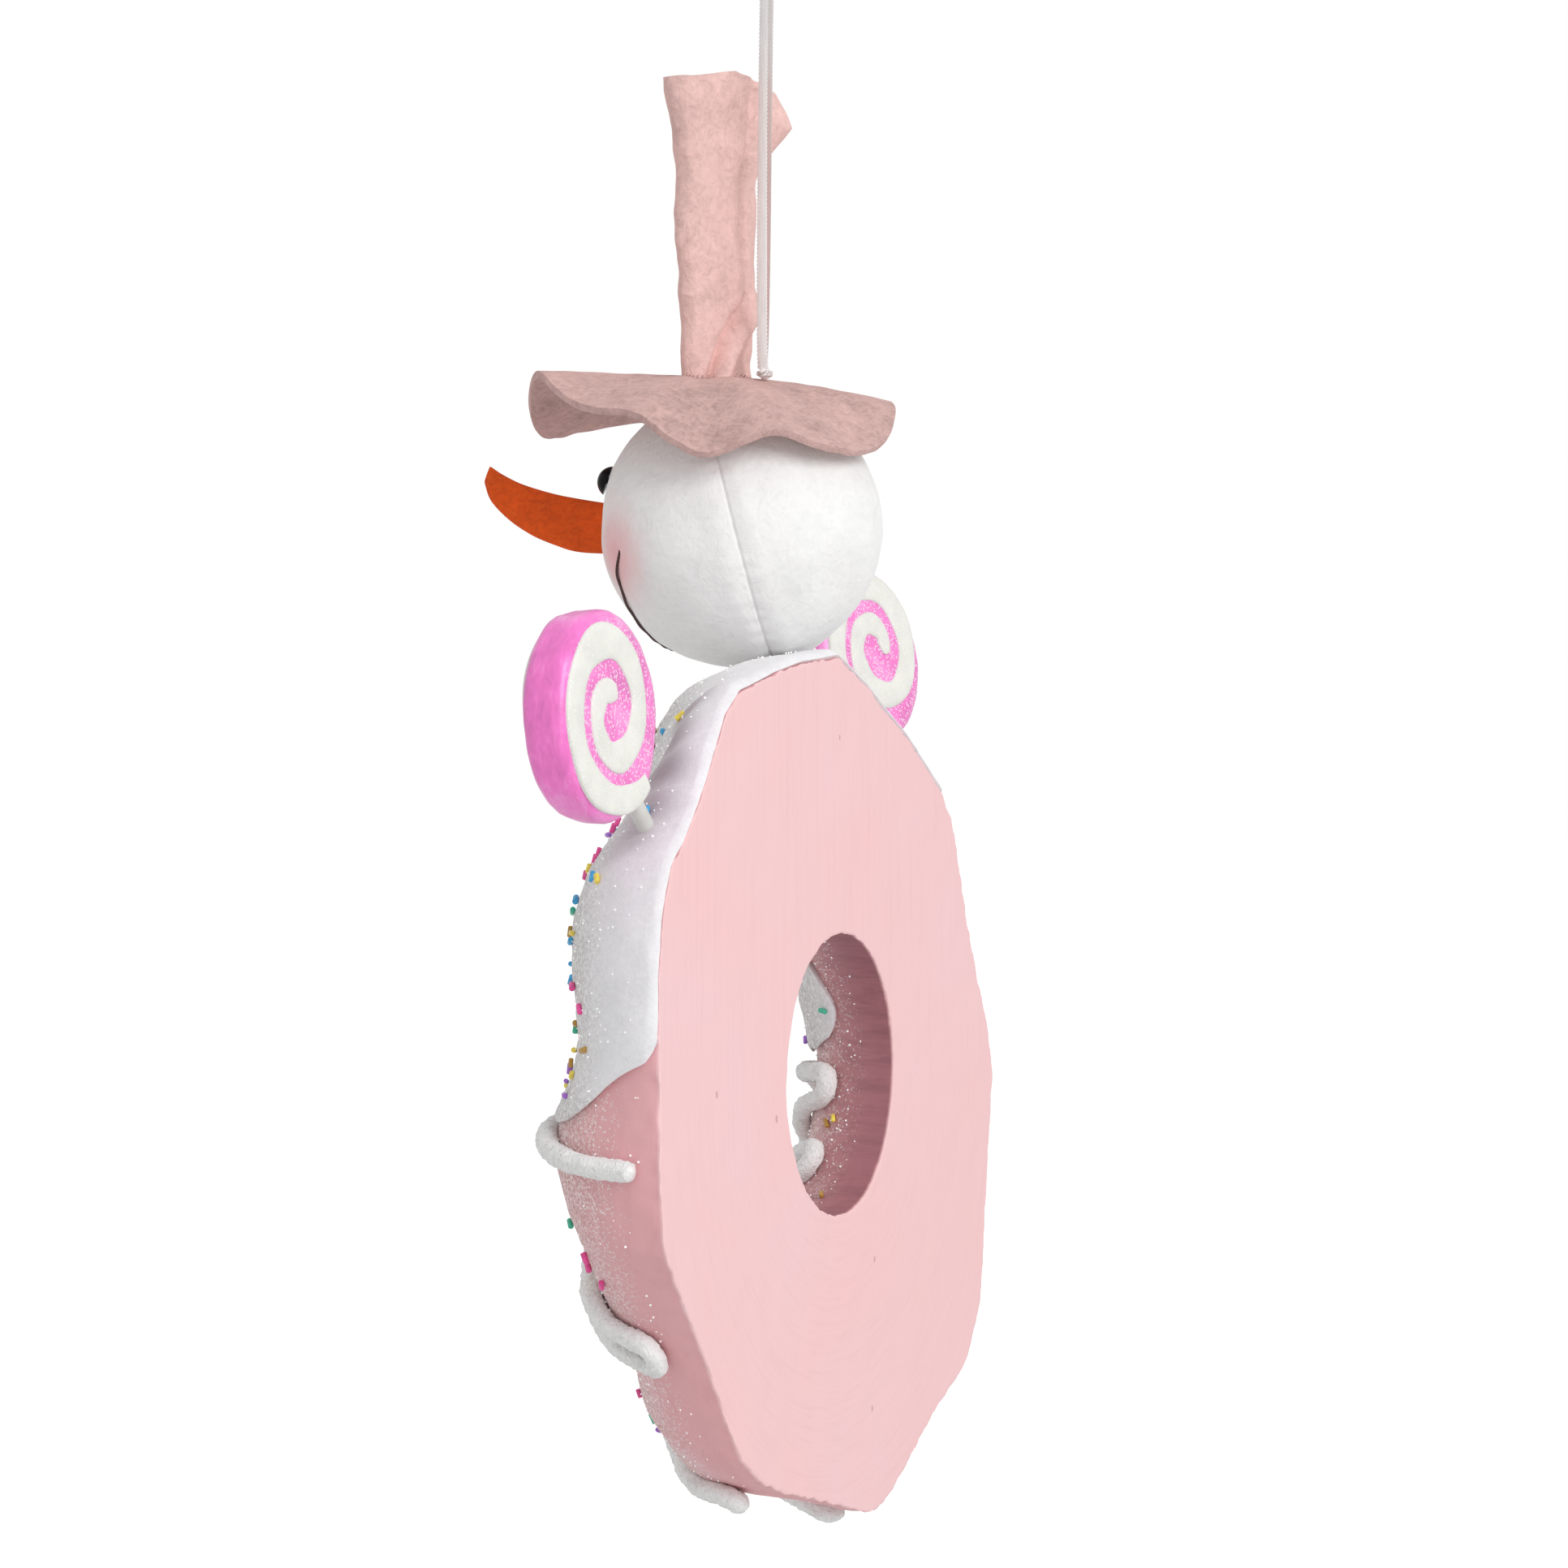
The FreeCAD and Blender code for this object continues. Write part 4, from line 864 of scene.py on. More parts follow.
# ---------------------------------------------------------------- ring
class SNOWMAN_OT_ring(bpy.types.Operator):
    """Build the hand-cut, brush-painted foam ring"""
    bl_idname = "snowman.ring"
    bl_label = "Foam Ring"

    def execute(self, context):
        angles = np.linspace(0, 360, 541)
        front = np.concatenate([
            [HOLE_ACROSS + 0.03], np.linspace(HOLE_ACROSS + 0.1, -0.05, 4), np.linspace(0, 1, 26),
            np.linspace(1, 2, 9)[1:], np.linspace(2, 3, 30)[1:],
            [3.1, 3.2, BACK_ACROSS - 0.07, BACK_ACROSS - 0.03]])
        points = dome(angles[None], front[:, None])[0]
        shares = np.concatenate([[0.004], np.linspace(0.012, 0.988, 36), [0.996]])
        edge = dome(angles, BACK_ACROSS)[0]
        rim = dome(angles, HOLE_ACROSS)[0]
        back = edge[None] + (rim - edge)[None] * shares[:, None, None]
        points = np.concatenate([points, back, points[:1]])
        points[:, -1] = points[:, 0]
        rough = 0.16 * lumps(points, 4.0, 1.0) + 0.10 * lumps(points, 1.6, 4.0)
        near_edge = bell(points[..., 1] - RING_CENTRE[1], 2.2)
        centre = points - RING_CENTRE
        outwards = unit(centre * np.array((1, 0, 1)))
        far = np.linalg.norm(centre[..., (0, 2)], axis=2) > 70
        points = points + outwards * (np.where(far, rough, rough * 0.5) * (
            1 + 1.6 * near_edge))[..., None]
        on_back = np.abs(points[..., 1] - RING_CENTRE[1]) < 0.05
        points[..., 1] += np.where(on_back, 0.12 * lumps(points, 9.0, 6.0) - 0.1, 0)
        piece = cloth_grid(points)
        close_up(piece)
        smooth(piece, 38)
        dress(piece, "painted_ring", foam_finish("brushed_foam_paint"))
        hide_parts("foam_ring")
        return {"FINISHED"}


def felt_edges(across):
    """The angles of the felt's right and left edges."""
    return [np.interp(across, edge[:, 1], edge[:, 0])
            for edge in (FELT_EDGE_RIGHT[::-1], FELT_EDGE_LEFT)]


class SNOWMAN_OT_icing(bpy.types.Operator):
    """Build the felt icing that drapes over the ring's shoulders"""
    bl_idname = "snowman.icing"
    bl_label = "Felt Icing"

    def execute(self, context):
        across = np.concatenate([[FELT_RIM], np.linspace(FELT_RIM + 0.03, BACK_ACROSS - 0.1, 82),
                                 [BACK_ACROSS - 0.05, BACK_ACROSS - 0.01]])
        right, left = (softened(edge, np.hanning(9)) for edge in felt_edges(across))
        share = np.linspace(0, 1, 261)
        angle = right[:, None] + (left - right)[:, None] * share[None]
        # the rim round the hole hangs in soft lobes
        near_rim = np.clip((0.62 - across[:, None]) / 0.4, 0, 1)
        lobes = 0.17 * (1 - bell(angle - 158, 17)) * np.clip((angle - 112) / 20, 0, 1)
        ripples = 0.05 * (1 + np.sin(np.radians(angle * 9)))
        lobes = lobes + ripples * np.clip((130 - angle) / 20, 0, 1)
        placed = across[:, None] + near_rim * lobes
        base = dome(angle, placed, 0)[0]
        edge = np.minimum(np.minimum(share, 1 - share)[None] * 260,
                          (across[:, None] - FELT_RIM) * 40)
        edge = np.minimum(edge, (BACK_ACROSS - 0.01 - across[:, None]) * 8)
        edge = np.clip(edge / 1.6, 0, 1)
        wobble = 0.28 * lumps(base, 7.0, 3.0) + 0.12 * lumps(base, 2.2, 5.0)
        at_back = np.clip((across[:, None] - 3.0) / 0.2, 0, 1)
        lift = FELT_SEAT - 0.6 * at_back + (0.75 + 0.6 * at_back) * np.sqrt(edge) + wobble * edge
        top = dome(angle, placed, lift)[0]
        hem = 0.1 * lumps(top[-1], 3.0, 8.0) - 0.05
        top[-1, :, 1] += hem
        top[-2, :, 1] += hem
        piece = cloth_grid(top)
        thicken(piece, size_of("felt_thickness") * MM * 1.2, len(piece.data.polygons) // 2,
                dome(60.0, 1.5)[1])
        close_up(piece)
        smooth(piece, 50)
        material = felt_finish("icing_felt_nap", colour_of("icing"),
                               contrast=0.07, fuzz=0.55, fibre=800, extra=icing_hollow_shade,
                               frosted=True)
        dress(piece, "icing_felt_sheet", material)
        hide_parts("icing_felt")
        return {"FINISHED"}


# ---------------------------------------------------------------- icing rope
def degrees_at(distance, across):
    """The turn round the ring that a distance along it makes there."""
    point = dome(0.0, across, worked=False)[0]
    return math.degrees(distance / math.hypot(point[0], point[2] - RING_CENTRE[2]))


def strand(start, stop):
    """Places on one run of the rope, straight up the front and curving over the outside."""
    steps = 10 if abs(stop[1] - start[1]) > 2 else 8
    inner, outer = sorted((start, stop), key=lambda place: place[1])
    places = []
    for step in range(1, steps):
        share = step / steps
        swing = math.sin(min(1, share / 0.8) * math.pi / 2)
        places.append((inner[0] + (outer[0] - inner[0]) * swing,
                       inner[1] + (outer[1] - inner[1]) * share))
    return places if start is inner else places[::-1]


def rope_places():
    """The rope's route round the ring: (angle, across) from its start to its end."""
    inner = degrees_at(INNER_TURN_HALF, INNER_TURN_ACROSS)
    outer = degrees_at(OUTER_TURN_HALF, OUTER_TURN_ACROSS)
    stops = []
    for place, angle in enumerate(ROPE_INNER_TURNS):
        stops.append((angle, INNER_TURN_ACROSS, inner))
        if place < len(ROPE_OUTER_TURNS):
            stops.append((ROPE_OUTER_TURNS[place], OUTER_TURN_ACROSS, outer))
    places = [ROPE_START]
    for number, (angle, across, half) in enumerate(stops):
        before = (angle + half, across)
        run = strand(places[-1], before)
        if number in (2 * LEANING_LOOP + 1, 2 * LEANING_LOOP + 2):
            run = [(turn + LOOP_LEAN * float(bell(place - 2.2, 0.5)), place) for turn, place in run]
        places += run
        places.append(before)
        places.append((angle - half, across))
    places += strand(places[-1], ROPE_END)
    places.append(ROPE_END)
    return places


class SNOWMAN_OT_rope(bpy.types.Operator):
    """Build the fuzzy rope of piped icing that zigzags round the ring"""
    bl_idname = "snowman.rope"
    bl_label = "Icing Rope"

    def execute(self, context):
        places = np.array(rope_places())
        middle = dome(places[:, 0], places[:, 1], ROPE_LIFT)[0]
        path = smooth_path(middle, ROPE_STEP)
        along = np.arange(len(path)) * ROPE_STEP
        from_end = np.minimum(along, along[::-1])
        cap = np.clip(1 - (1 - np.clip(from_end / 1.5, 0, 1)) ** 3, 0.02, 1) ** 0.5
        slow = 1 + 0.09 * lumps(path, 9.0, 3.0) + 0.05 * lumps(path, 3.0, 9.0)

        def fuzzy(points):
            middle = points.mean(axis=1)[:, None]
            away = points - middle
            swell = 1 + 0.07 * lumps(points, 1.3, 2.0) + 0.08 * lumps(points, 0.6, 7.0)
            return middle + away * swell[..., None]

        piece = swept(path, size_of("rope_radius") * cap * slow * 0.99, sides=26, wobble=fuzzy)
        smooth(piece, 80)
        material = felt_finish("piped_icing_fuzz", colour_of("rope"),
                               contrast=0.1, fuzz=1.0, fibre=900, depth=0.0009, sheen=0.4)
        dress(piece, "piped_icing_rope", material)
        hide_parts(*["icing_rope_%d" % number for number in range(1, 7)])
        return {"FINISHED"}


# ---------------------------------------------------------------- sprinkles and glitter
def sprinkle_rods(name):
    """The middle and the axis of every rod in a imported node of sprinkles."""
    mesh = bpy.data.objects[name].data
    points = points_of(bpy.data.objects[name])
    owner = {}

    def root(key):
        while owner[key] != key:
            owner[key] = owner[owner[key]]
            key = owner[key]
        return key

    keys = [tuple(point) for point in np.round(points, 3)]
    for key in keys:
        owner.setdefault(key, key)
    for polygon in mesh.polygons:
        corners = [root(keys[vertex]) for vertex in polygon.vertices]
        for corner in corners[1:]:
            owner[root(corner)] = root(corners[0])
    groups = {}
    for key in sorted(owner):
        groups.setdefault(root(key), []).append(key)
    rods = []
    for group in groups.values():
        cloud = np.array(group)
        middle = (cloud.min(axis=0) + cloud.max(axis=0)) / 2
        axis = np.linalg.svd(cloud - cloud.mean(axis=0), full_matrices=False)[2][0]
        rods.append((middle, axis if axis[2] > 0 else -axis))
    return sorted(rods, key=lambda rod: tuple(np.round(rod[0], 2)))


def stamp_copies(master, matrices):
    """One mesh made of a copy of the master at each matrix."""
    copies = []
    for matrix in matrices:
        only(master)
        bpy.ops.object.duplicate()
        copy = bpy.context.object
        copy.matrix_world = matrix
        copies.append(copy)
    lone_start()
    for copy in copies:
        copy.select_set(True)
    bpy.context.view_layer.objects.active = copies[0]
    bpy.ops.object.transform_apply(location=True, rotation=True, scale=True)
    bpy.ops.object.join()
    piece = bpy.context.object
    bpy.data.objects.remove(master)
    return piece


def rod_matrix(middle, axis, scale=1.0):
    turn = Vector((0, 0, 1)).rotation_difference(Vector(axis)).to_matrix().to_4x4()
    return Matrix.Translation(Vector(middle) * MM) @ turn @ Matrix.Scale(scale, 4)


class SNOWMAN_OT_sprinkles(bpy.types.Operator):
    """Build the sugar sprinkles, seated on the worked surface"""
    bl_idname = "snowman.sprinkles"
    bl_label = "Sprinkles"

    def execute(self, context):
        angles = np.arange(0, 360, 1.0)
        across = np.linspace(0, 3, 91)
        plain, facing = dome(angles[:, None], across[None], worked=False)
        rise = dome(angles[:, None], across[None])[0] - plain
        flat = plain.reshape(-1, 3)
        tree = kdtree.KDTree(len(flat))
        for number, point in enumerate(flat):
            tree.insert(point, number)
        tree.balance()
        facing = facing.reshape(-1, 3)
        rise = rise.reshape(-1, 3)
        draw = random.Random(SPRINKLE_SEED)
        for colour in SPRINKLE_COLOURS:
            node_name = "sprinkles_" + colour
            lone_start()
            bpy.ops.mesh.primitive_cylinder_add(vertices=10, radius=0.00068, depth=0.0024)
            master = bpy.context.object
            modify(master, "BEVEL", width=0.0002, segments=2, limit_method="ANGLE")
            smooth(master, 60)
            matrices = []
            for middle, axis in sprinkle_rods(node_name):
                number = tree.find(middle)[1]
                matrices.append(rod_matrix(middle + rise[number] - 0.15 * facing[number],
                                           axis, draw.uniform(0.85, 1.12)))
            piece = stamp_copies(master, matrices)
            shade = next(item["base_color"] for item in frame["record"]["materials"]
                         if item["slot"] == "sprinkle_" + colour)
            material = moulded_finish("sugar_" + colour, tuple(shade[:3]), 0.32, 0.18, 900.0)
            dress(piece, "sugar_sprinkles_" + colour, material)
            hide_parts(node_name)
        return {"FINISHED"}


class SNOWMAN_OT_glitter(bpy.types.Operator):
    """Scatter flakes of glitter over the icing and the ring's front"""
    bl_idname = "snowman.glitter"
    bl_label = "Glitter Flakes"

    def execute(self, context):
        size = context.scene.snowman_sizes
        draw = random.Random(GLITTER_SEED)
        places = []
        for number in range(size.flakes):
            angle = draw.uniform(0, 360)
            across = 0.05 + 2.9 * draw.random() ** 0.85
            across = across if draw.random() < 0.93 or across < 2.3 else 2.3
            right, left = felt_edges(across)
            covered = right + 1 < angle < left - 1 and across > 0.42
            if across > 2.35 and not covered and draw.random() < 0.55:
                continue
            places.append((angle, across, 2.35 if covered else 0.2))
        places = np.array(places)
        points, facing = dome(places[:, 0], places[:, 1], places[:, 2])
        lone_start()
        bpy.ops.mesh.primitive_cylinder_add(vertices=6, radius=size.flake_size / 2,
                                            depth=size.flake_size * 0.3)
        master = bpy.context.object
        shape = points_of(master)
        faces = [tuple(polygon.vertices) for polygon in master.data.polygons]
        bpy.data.objects.remove(master)
        corners = []
        joined = []
        for point, normal in zip(points, facing):
            tilt = Vector((draw.gauss(0, 0.5), draw.gauss(0, 0.5), draw.gauss(0, 0.5)))
            axis = (Vector(normal) + tilt).normalized()
            matrix = np.array(rod_matrix((0, 0, 0), axis, draw.uniform(0.6, 1.2)).to_3x3())
            joined += [tuple(index + len(corners) for index in face) for face in faces]
            corners += list(shape @ matrix.T + point)
        mesh = bpy.data.meshes.new("glitter_flakes")
        mesh.from_pydata([tuple(corner * MM) for corner in corners], [], joined)
        piece = bpy.data.objects.new("glitter_flakes", mesh)
        context.collection.objects.link(piece)
        close_up(piece, 1e-7)
        # the flakes glow faintly white: painted light that stands for their sparkle
        material, tree, shader, coordinates = start_finish("glitter", 0.15, coat_weight=0.6,
                                                           emission_strength=0.25)
        shader.inputs["Emission Color"].default_value = (1, 1, 1, 1)
        cells = node(tree, "ShaderNodeTexVoronoi", {"Vector": coordinates, "Scale": 900.0})
        tint = blended(tree, 0.18, (0.93, 0.93, 0.93), cells.outputs["Color"])
        tree.links.new(tint, shader.inputs["Base Color"])
        dress(piece, "glitter_flakes", material)
        return {"FINISHED"}


# ---------------------------------------------------------------- head and face
class SNOWMAN_OT_head(bpy.types.Operator):
    """Build the stuffed fleece head with its seam"""
    bl_idname = "snowman.head"
    bl_label = "Stuffed Head"

    def execute(self, context):
        plain = np.linspace(-180, 180, 221)
        fine = np.linspace(-5, 5, 21)
        turns = np.unique(np.round(np.concatenate([
            plain[np.abs(np.abs(plain) - SEAM_TURN) > 5], fine + SEAM_TURN, fine - SEAM_TURN]), 4))
        rises = np.linspace(-90, 90, 131)
        turn, rise = np.radians(turns)[None], np.radians(rises)[:, None]
        level = np.cos(rise)
        ball = np.stack([level * np.sin(turn), -level * np.cos(turn),
                         np.sin(rise) + 0 * turn], axis=-1)
        gap = np.abs(np.abs(turns) - SEAM_TURN)[None] * math.pi / 180 * HEAD_RADIUS * level
        outward = ball * HEAD_RADIUS
        along = rise * HEAD_RADIUS
        fade = np.clip(np.cos(rise) * 4, 0, 1)
        pucker = 0.16 * bell(gap, 3.2) * np.sin(along * 1.25 + 2.2 * lumps(outward, 9.0, 4.0))
        crease = -0.55 * bell(gap, 0.34) - 0.3 * bell(gap, 2.0)
        plump = 0.35 * bell(gap - 4.0, 3.0)
        soft = 0.35 * lumps(outward, 17.0, 1.0) + 0.06 * lumps(outward, 3.5, 2.0)
        radius = HEAD_RADIUS - 0.1 + (pucker + crease + plump) * fade + soft
        points = ball * radius[..., None]
        tilt = np.array(Matrix.Rotation(math.radians(SEAM_TILT), 3, "X"))
        points = points @ tilt.T + HEAD_CENTRE
        for sign in (1, -1):
            corner = head_place(sign * 49.0, -12.0, HEAD_RADIUS)
            away = np.linalg.norm(points - corner, axis=2)
            points = points + unit(HEAD_CENTRE - points) * (0.9 * bell(away, 2.6))[..., None]
        points[:, -1] = points[:, 0]
        piece = cloth_grid(points)
        close_up(piece, 1e-5)
        smooth(piece, 80)
        material = felt_finish("white_fleece", colour_of("fleece"),
                               contrast=0.06, fuzz=0.7, fibre=420, depth=0.0006, sheen=0.3,
                               extra=fleece_extra)
        dress(piece, "stuffed_head", material)
        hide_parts("head_cover_front", "head_cover_back", "head_filling")
        return {"FINISHED"}


class SNOWMAN_OT_face(bpy.types.Operator):
    """Build the felt nose and the sewn smile"""
    bl_idname = "snowman.face"
    bl_label = "Face"

    def nose(self):
        length = np.linspace(0, 1, 90)
        upper = evenly(smooth_path([(0, reach, rise) for reach, rise in NOSE_TOP], 0.5), 1e-3)
        lower = evenly(smooth_path([(0, reach, rise) for reach, rise in NOSE_UNDER], 0.5), 1e-3)
        upper, lower = (line[np.linspace(0, len(line) - 1, 90).astype(int)]
                        for line in (upper, lower))
        share = np.linspace(0, 1, 25)[:, None]
        swell = np.sqrt(np.clip(4 * share * (1 - share), 0, 1))
        y = -(lower[:, 1] + (upper[:, 1] - lower[:, 1]) * share)
        z = lower[:, 2] + (upper[:, 2] - lower[:, 2]) * share
        tip = np.clip((1 - length) / 0.06, 0, 1) ** 0.5
        thick = (0.55 + 1.25 * swell * (1 - 0.45 * length)) * (0.35 + 0.65 * tip)
        sheets = []
        for sign in (1, -1):
            x = sign * thick + 0.12 * lumps(np.stack([y, z, 0 * z], axis=-1), 4.0, 2.0)
            sheets.append(np.stack([x, y + HEAD_CENTRE[1], z + HEAD_CENTRE[2]], axis=-1))
        loop = np.concatenate([sheets[0], sheets[1][::-1], sheets[0][:1]])
        piece = cloth_grid(capped(loop.transpose(1, 0, 2)))
        close_up(piece)
        smooth(piece, 50)

        def edges(tree, coordinates, painted):
            dust = grain(tree, coordinates, 500.0, 3)
            return blended(tree, between(tree, dust, 0.55, 0.75, 0, 0.25), painted,
                           (0.85, 0.17, 0.02))

        material = felt_finish("orange_felt", colour_of("nose"),
                               contrast=0.25, fuzz=0.6, fibre=800, sheen=0.2, extra=edges)
        dress(piece, "felt_nose", material)
        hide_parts("nose_layer_right", "nose_layer_left")

    def smile(self):
        route = []
        for step in range(-SMILE_STITCHES, SMILE_STITCHES + 1):
            share = abs(step) / SMILE_STITCHES
            turn = math.copysign(SMILE_TURN * (1 - (1 - share) ** 1.15), step)
            rise = SMILE_RISE * share ** 2.2 + SMILE_LOW
            dip = -1.2 if share == 1 else (0.35 if step % 2 else 0.15)
            route.append(head_place(turn, rise, HEAD_RADIUS + dip))
        path = smooth_path(route, 0.7)
        piece = swept(path, np.full(len(path), 0.36), sides=10)
        smooth(piece, 60)
        material = thread_finish("brown_thread", (0.07, 0.03, 0.025))
        dress(piece, "sewn_smile", material)
        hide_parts("mouth_thread")

    def execute(self, context):
        self.nose()
        self.smile()
        return {"FINISHED"}


# ---------------------------------------------------------------- hat
def brim_height(angle, share):
    """The height of the brim at an angle and a share of its radius."""
    return BRIM_CENTRE[2] - wave(BRIM_DROOPS, angle) * share ** BRIM_SAG


class SNOWMAN_OT_hat(bpy.types.Operator):
    """Build the floppy felt hat: its wavy brim, collapsed crown and stitches"""
    bl_idname = "snowman.hat"
    bl_label = "Felt Hat"

    def brim(self, material):
        turns = np.linspace(0, 360, 241)
        reach = np.concatenate([[0.0005], np.linspace(0.04, 0.97, 44), [0.99, 1.0]])
        edge = size_of("brim_radius") * (1 + 0.012 * np.sin(np.radians(turns * 3)) + 0.008 * np.sin(
            np.radians(turns * 7 + 40)))
        share = reach[:, None]
        turn = np.radians(turns)[None]
        x = BRIM_CENTRE[0] + edge * share * np.cos(turn)
        y = BRIM_CENTRE[1] + edge * share * np.sin(turn)
        points = np.stack([x, y, brim_height(turns[None], share)], axis=-1)
        points[..., 2] += 0.25 * lumps(points, 6.0, 4.0) * share
        points[:, -1] = points[:, 0]
        piece = cloth_grid(points)
        close_up(piece, 2e-5)
        thicken(piece, size_of("felt_thickness") * MM, 2000, (0, 0, 1))
        modify(piece, "BEVEL", width=0.0005, segments=2, limit_method="ANGLE",
               angle_limit=math.radians(60))
        smooth(piece, 60)
        dress(piece, "wavy_brim", material)
        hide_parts("hat_brim")

    def crown(self, material):
        half_width, half_depth = size_of("crown_width") / 2, size_of("crown_depth") / 2
        turns = np.linspace(0, 360, 181)
        turn = np.radians(turns)[None]
        height = np.linspace(0, 1, 110)[:, None]
        z = CROWN_LOW + (CROWN_HIGH - CROWN_LOW) * height + 0 * turn
        fullness = np.interp(height, *CROWN_FULLNESS.T)
        width = half_width * fullness
        depth = half_depth * fullness * (1 - 0.1 * bell(height - 0.5, 0.25))
        cosine, sine = np.cos(turn), np.sin(turn)
        x = width * np.sign(cosine) * np.abs(cosine) ** 0.9
        y = depth * np.sign(sine) * np.abs(sine) ** 0.75
        behind = np.clip(sine, 0, 1)
        x_share = x / half_width
        past_fold = turns[None] - 40 - 250 * height
        low = np.clip((0.34 - height) / 0.12, 0, 1)
        fold = (2.6 * bell(past_fold - 19, 13) - 3.2 * bell(past_fold, 9)) * low
        groove = -1.3 * bell(turns[None] - 106, 7) * np.clip((height - 0.3) / 0.1, 0, 1)
        y = y + behind * (-1.9 * bell(x_share + 0.15, 0.35) * bell(height - 0.62, 0.13) + groove)
        far_corner = np.clip(-x_share / fullness - 0.3, 0, 1) / 0.7
        y = y + np.interp(height, *CROWN_FLARE.T) * far_corner ** 1.6 * CROWN_FLARE_REACH
        y = y - 1.2 * np.clip(x_share, 0, 1)
        points = np.stack([x, y + CROWN_CENTRE[1], z], axis=-1)
        soft = 0.7 * lumps(points, 11.0, 5.0) + 0.22 * lumps(points, 4.0, 3.0)
        outwards = np.stack([cosine + 0 * height, sine + 0 * height, 0 * z], axis=-1)
        points = points + outwards * (soft + fold * np.clip(behind * 3, 0, 1))[..., None]
        top_slope = 3.4 * np.clip((x_share - 0.25) / 0.75, 0, 1) + 2.0 * np.clip(
            (-x_share - 0.3) / 0.7, 0, 1)
        points[..., 2] -= top_slope * height ** 3
        middle = points[-1, :-1].mean(axis=0)
        lid = []
        for inward, sink in ((0.07, 0.25), (0.2, -0.5), (0.45, -1.0), (0.75, -1.2), (0.999, -1.2)):
            ring = points[-1] + (middle - points[-1]) * inward
            ring[:, 2] += sink
            lid.append(ring)
        points = np.concatenate([points, np.array(lid)])
        points[:, -1] = points[:, 0]
        piece = cloth_grid(points)
        close_up(piece, 3e-5)
        thicken(piece, size_of("felt_thickness") * MM * 0.8, 40 * 180 + 45, (0, 1, 0))
        smooth(piece, 60)
        dress(piece, "collapsed_crown", material)
        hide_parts("hat_crown", "hat_top")

    def stitches(self):
        lone_start()
        bpy.ops.mesh.primitive_cylinder_add(vertices=8, radius=0.00016, depth=0.0016)
        master = bpy.context.object
        modify(master, "BEVEL", width=0.00008, segments=2, limit_method="ANGLE")
        smooth(master, 60)
        half_width, half_depth = size_of("crown_width") / 2, size_of("crown_depth") / 2
        matrices = []
        for number in range(CROWN_STITCHES):
            turn = 2 * math.pi * (number + 0.5) / CROWN_STITCHES
            x = half_width * 0.745 * math.cos(turn)
            y = half_depth * 0.78 * math.sin(turn) + CROWN_CENTRE[1]
            angle = math.degrees(math.atan2(y - BRIM_CENTRE[1], x))
            share = math.hypot(x, y - BRIM_CENTRE[1]) / size_of("brim_radius")
            z = float(brim_height(np.array([angle]), share)[0])
            lean = (0.5 * math.cos(turn), 0.5 * math.sin(turn), 1.0)
            matrices.append(rod_matrix((x, y, z + 0.1), lean))
        piece = stamp_copies(master, matrices)
        dress(piece, "crown_seam_stitches", thread_finish("pink_thread", (0.50, 0.31, 0.29)))
        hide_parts("hat_stitches")

    def execute(self, context):
        colour = colour_of("hat")
        # the brim's felt is the hat's pink darkened: partly painted shade on the brim
        brim = felt_finish("brim_felt", tinted(colour, 0.755), contrast=0.3, fuzz=0.8,
                           fibre=620, depth=0.0007)
        crown = felt_finish("crown_felt", colour, contrast=0.2, fuzz=0.8, fibre=560,
                            depth=0.0007)
        self.brim(brim)
        self.crown(crown)
        self.stitches()
        return {"FINISHED"}


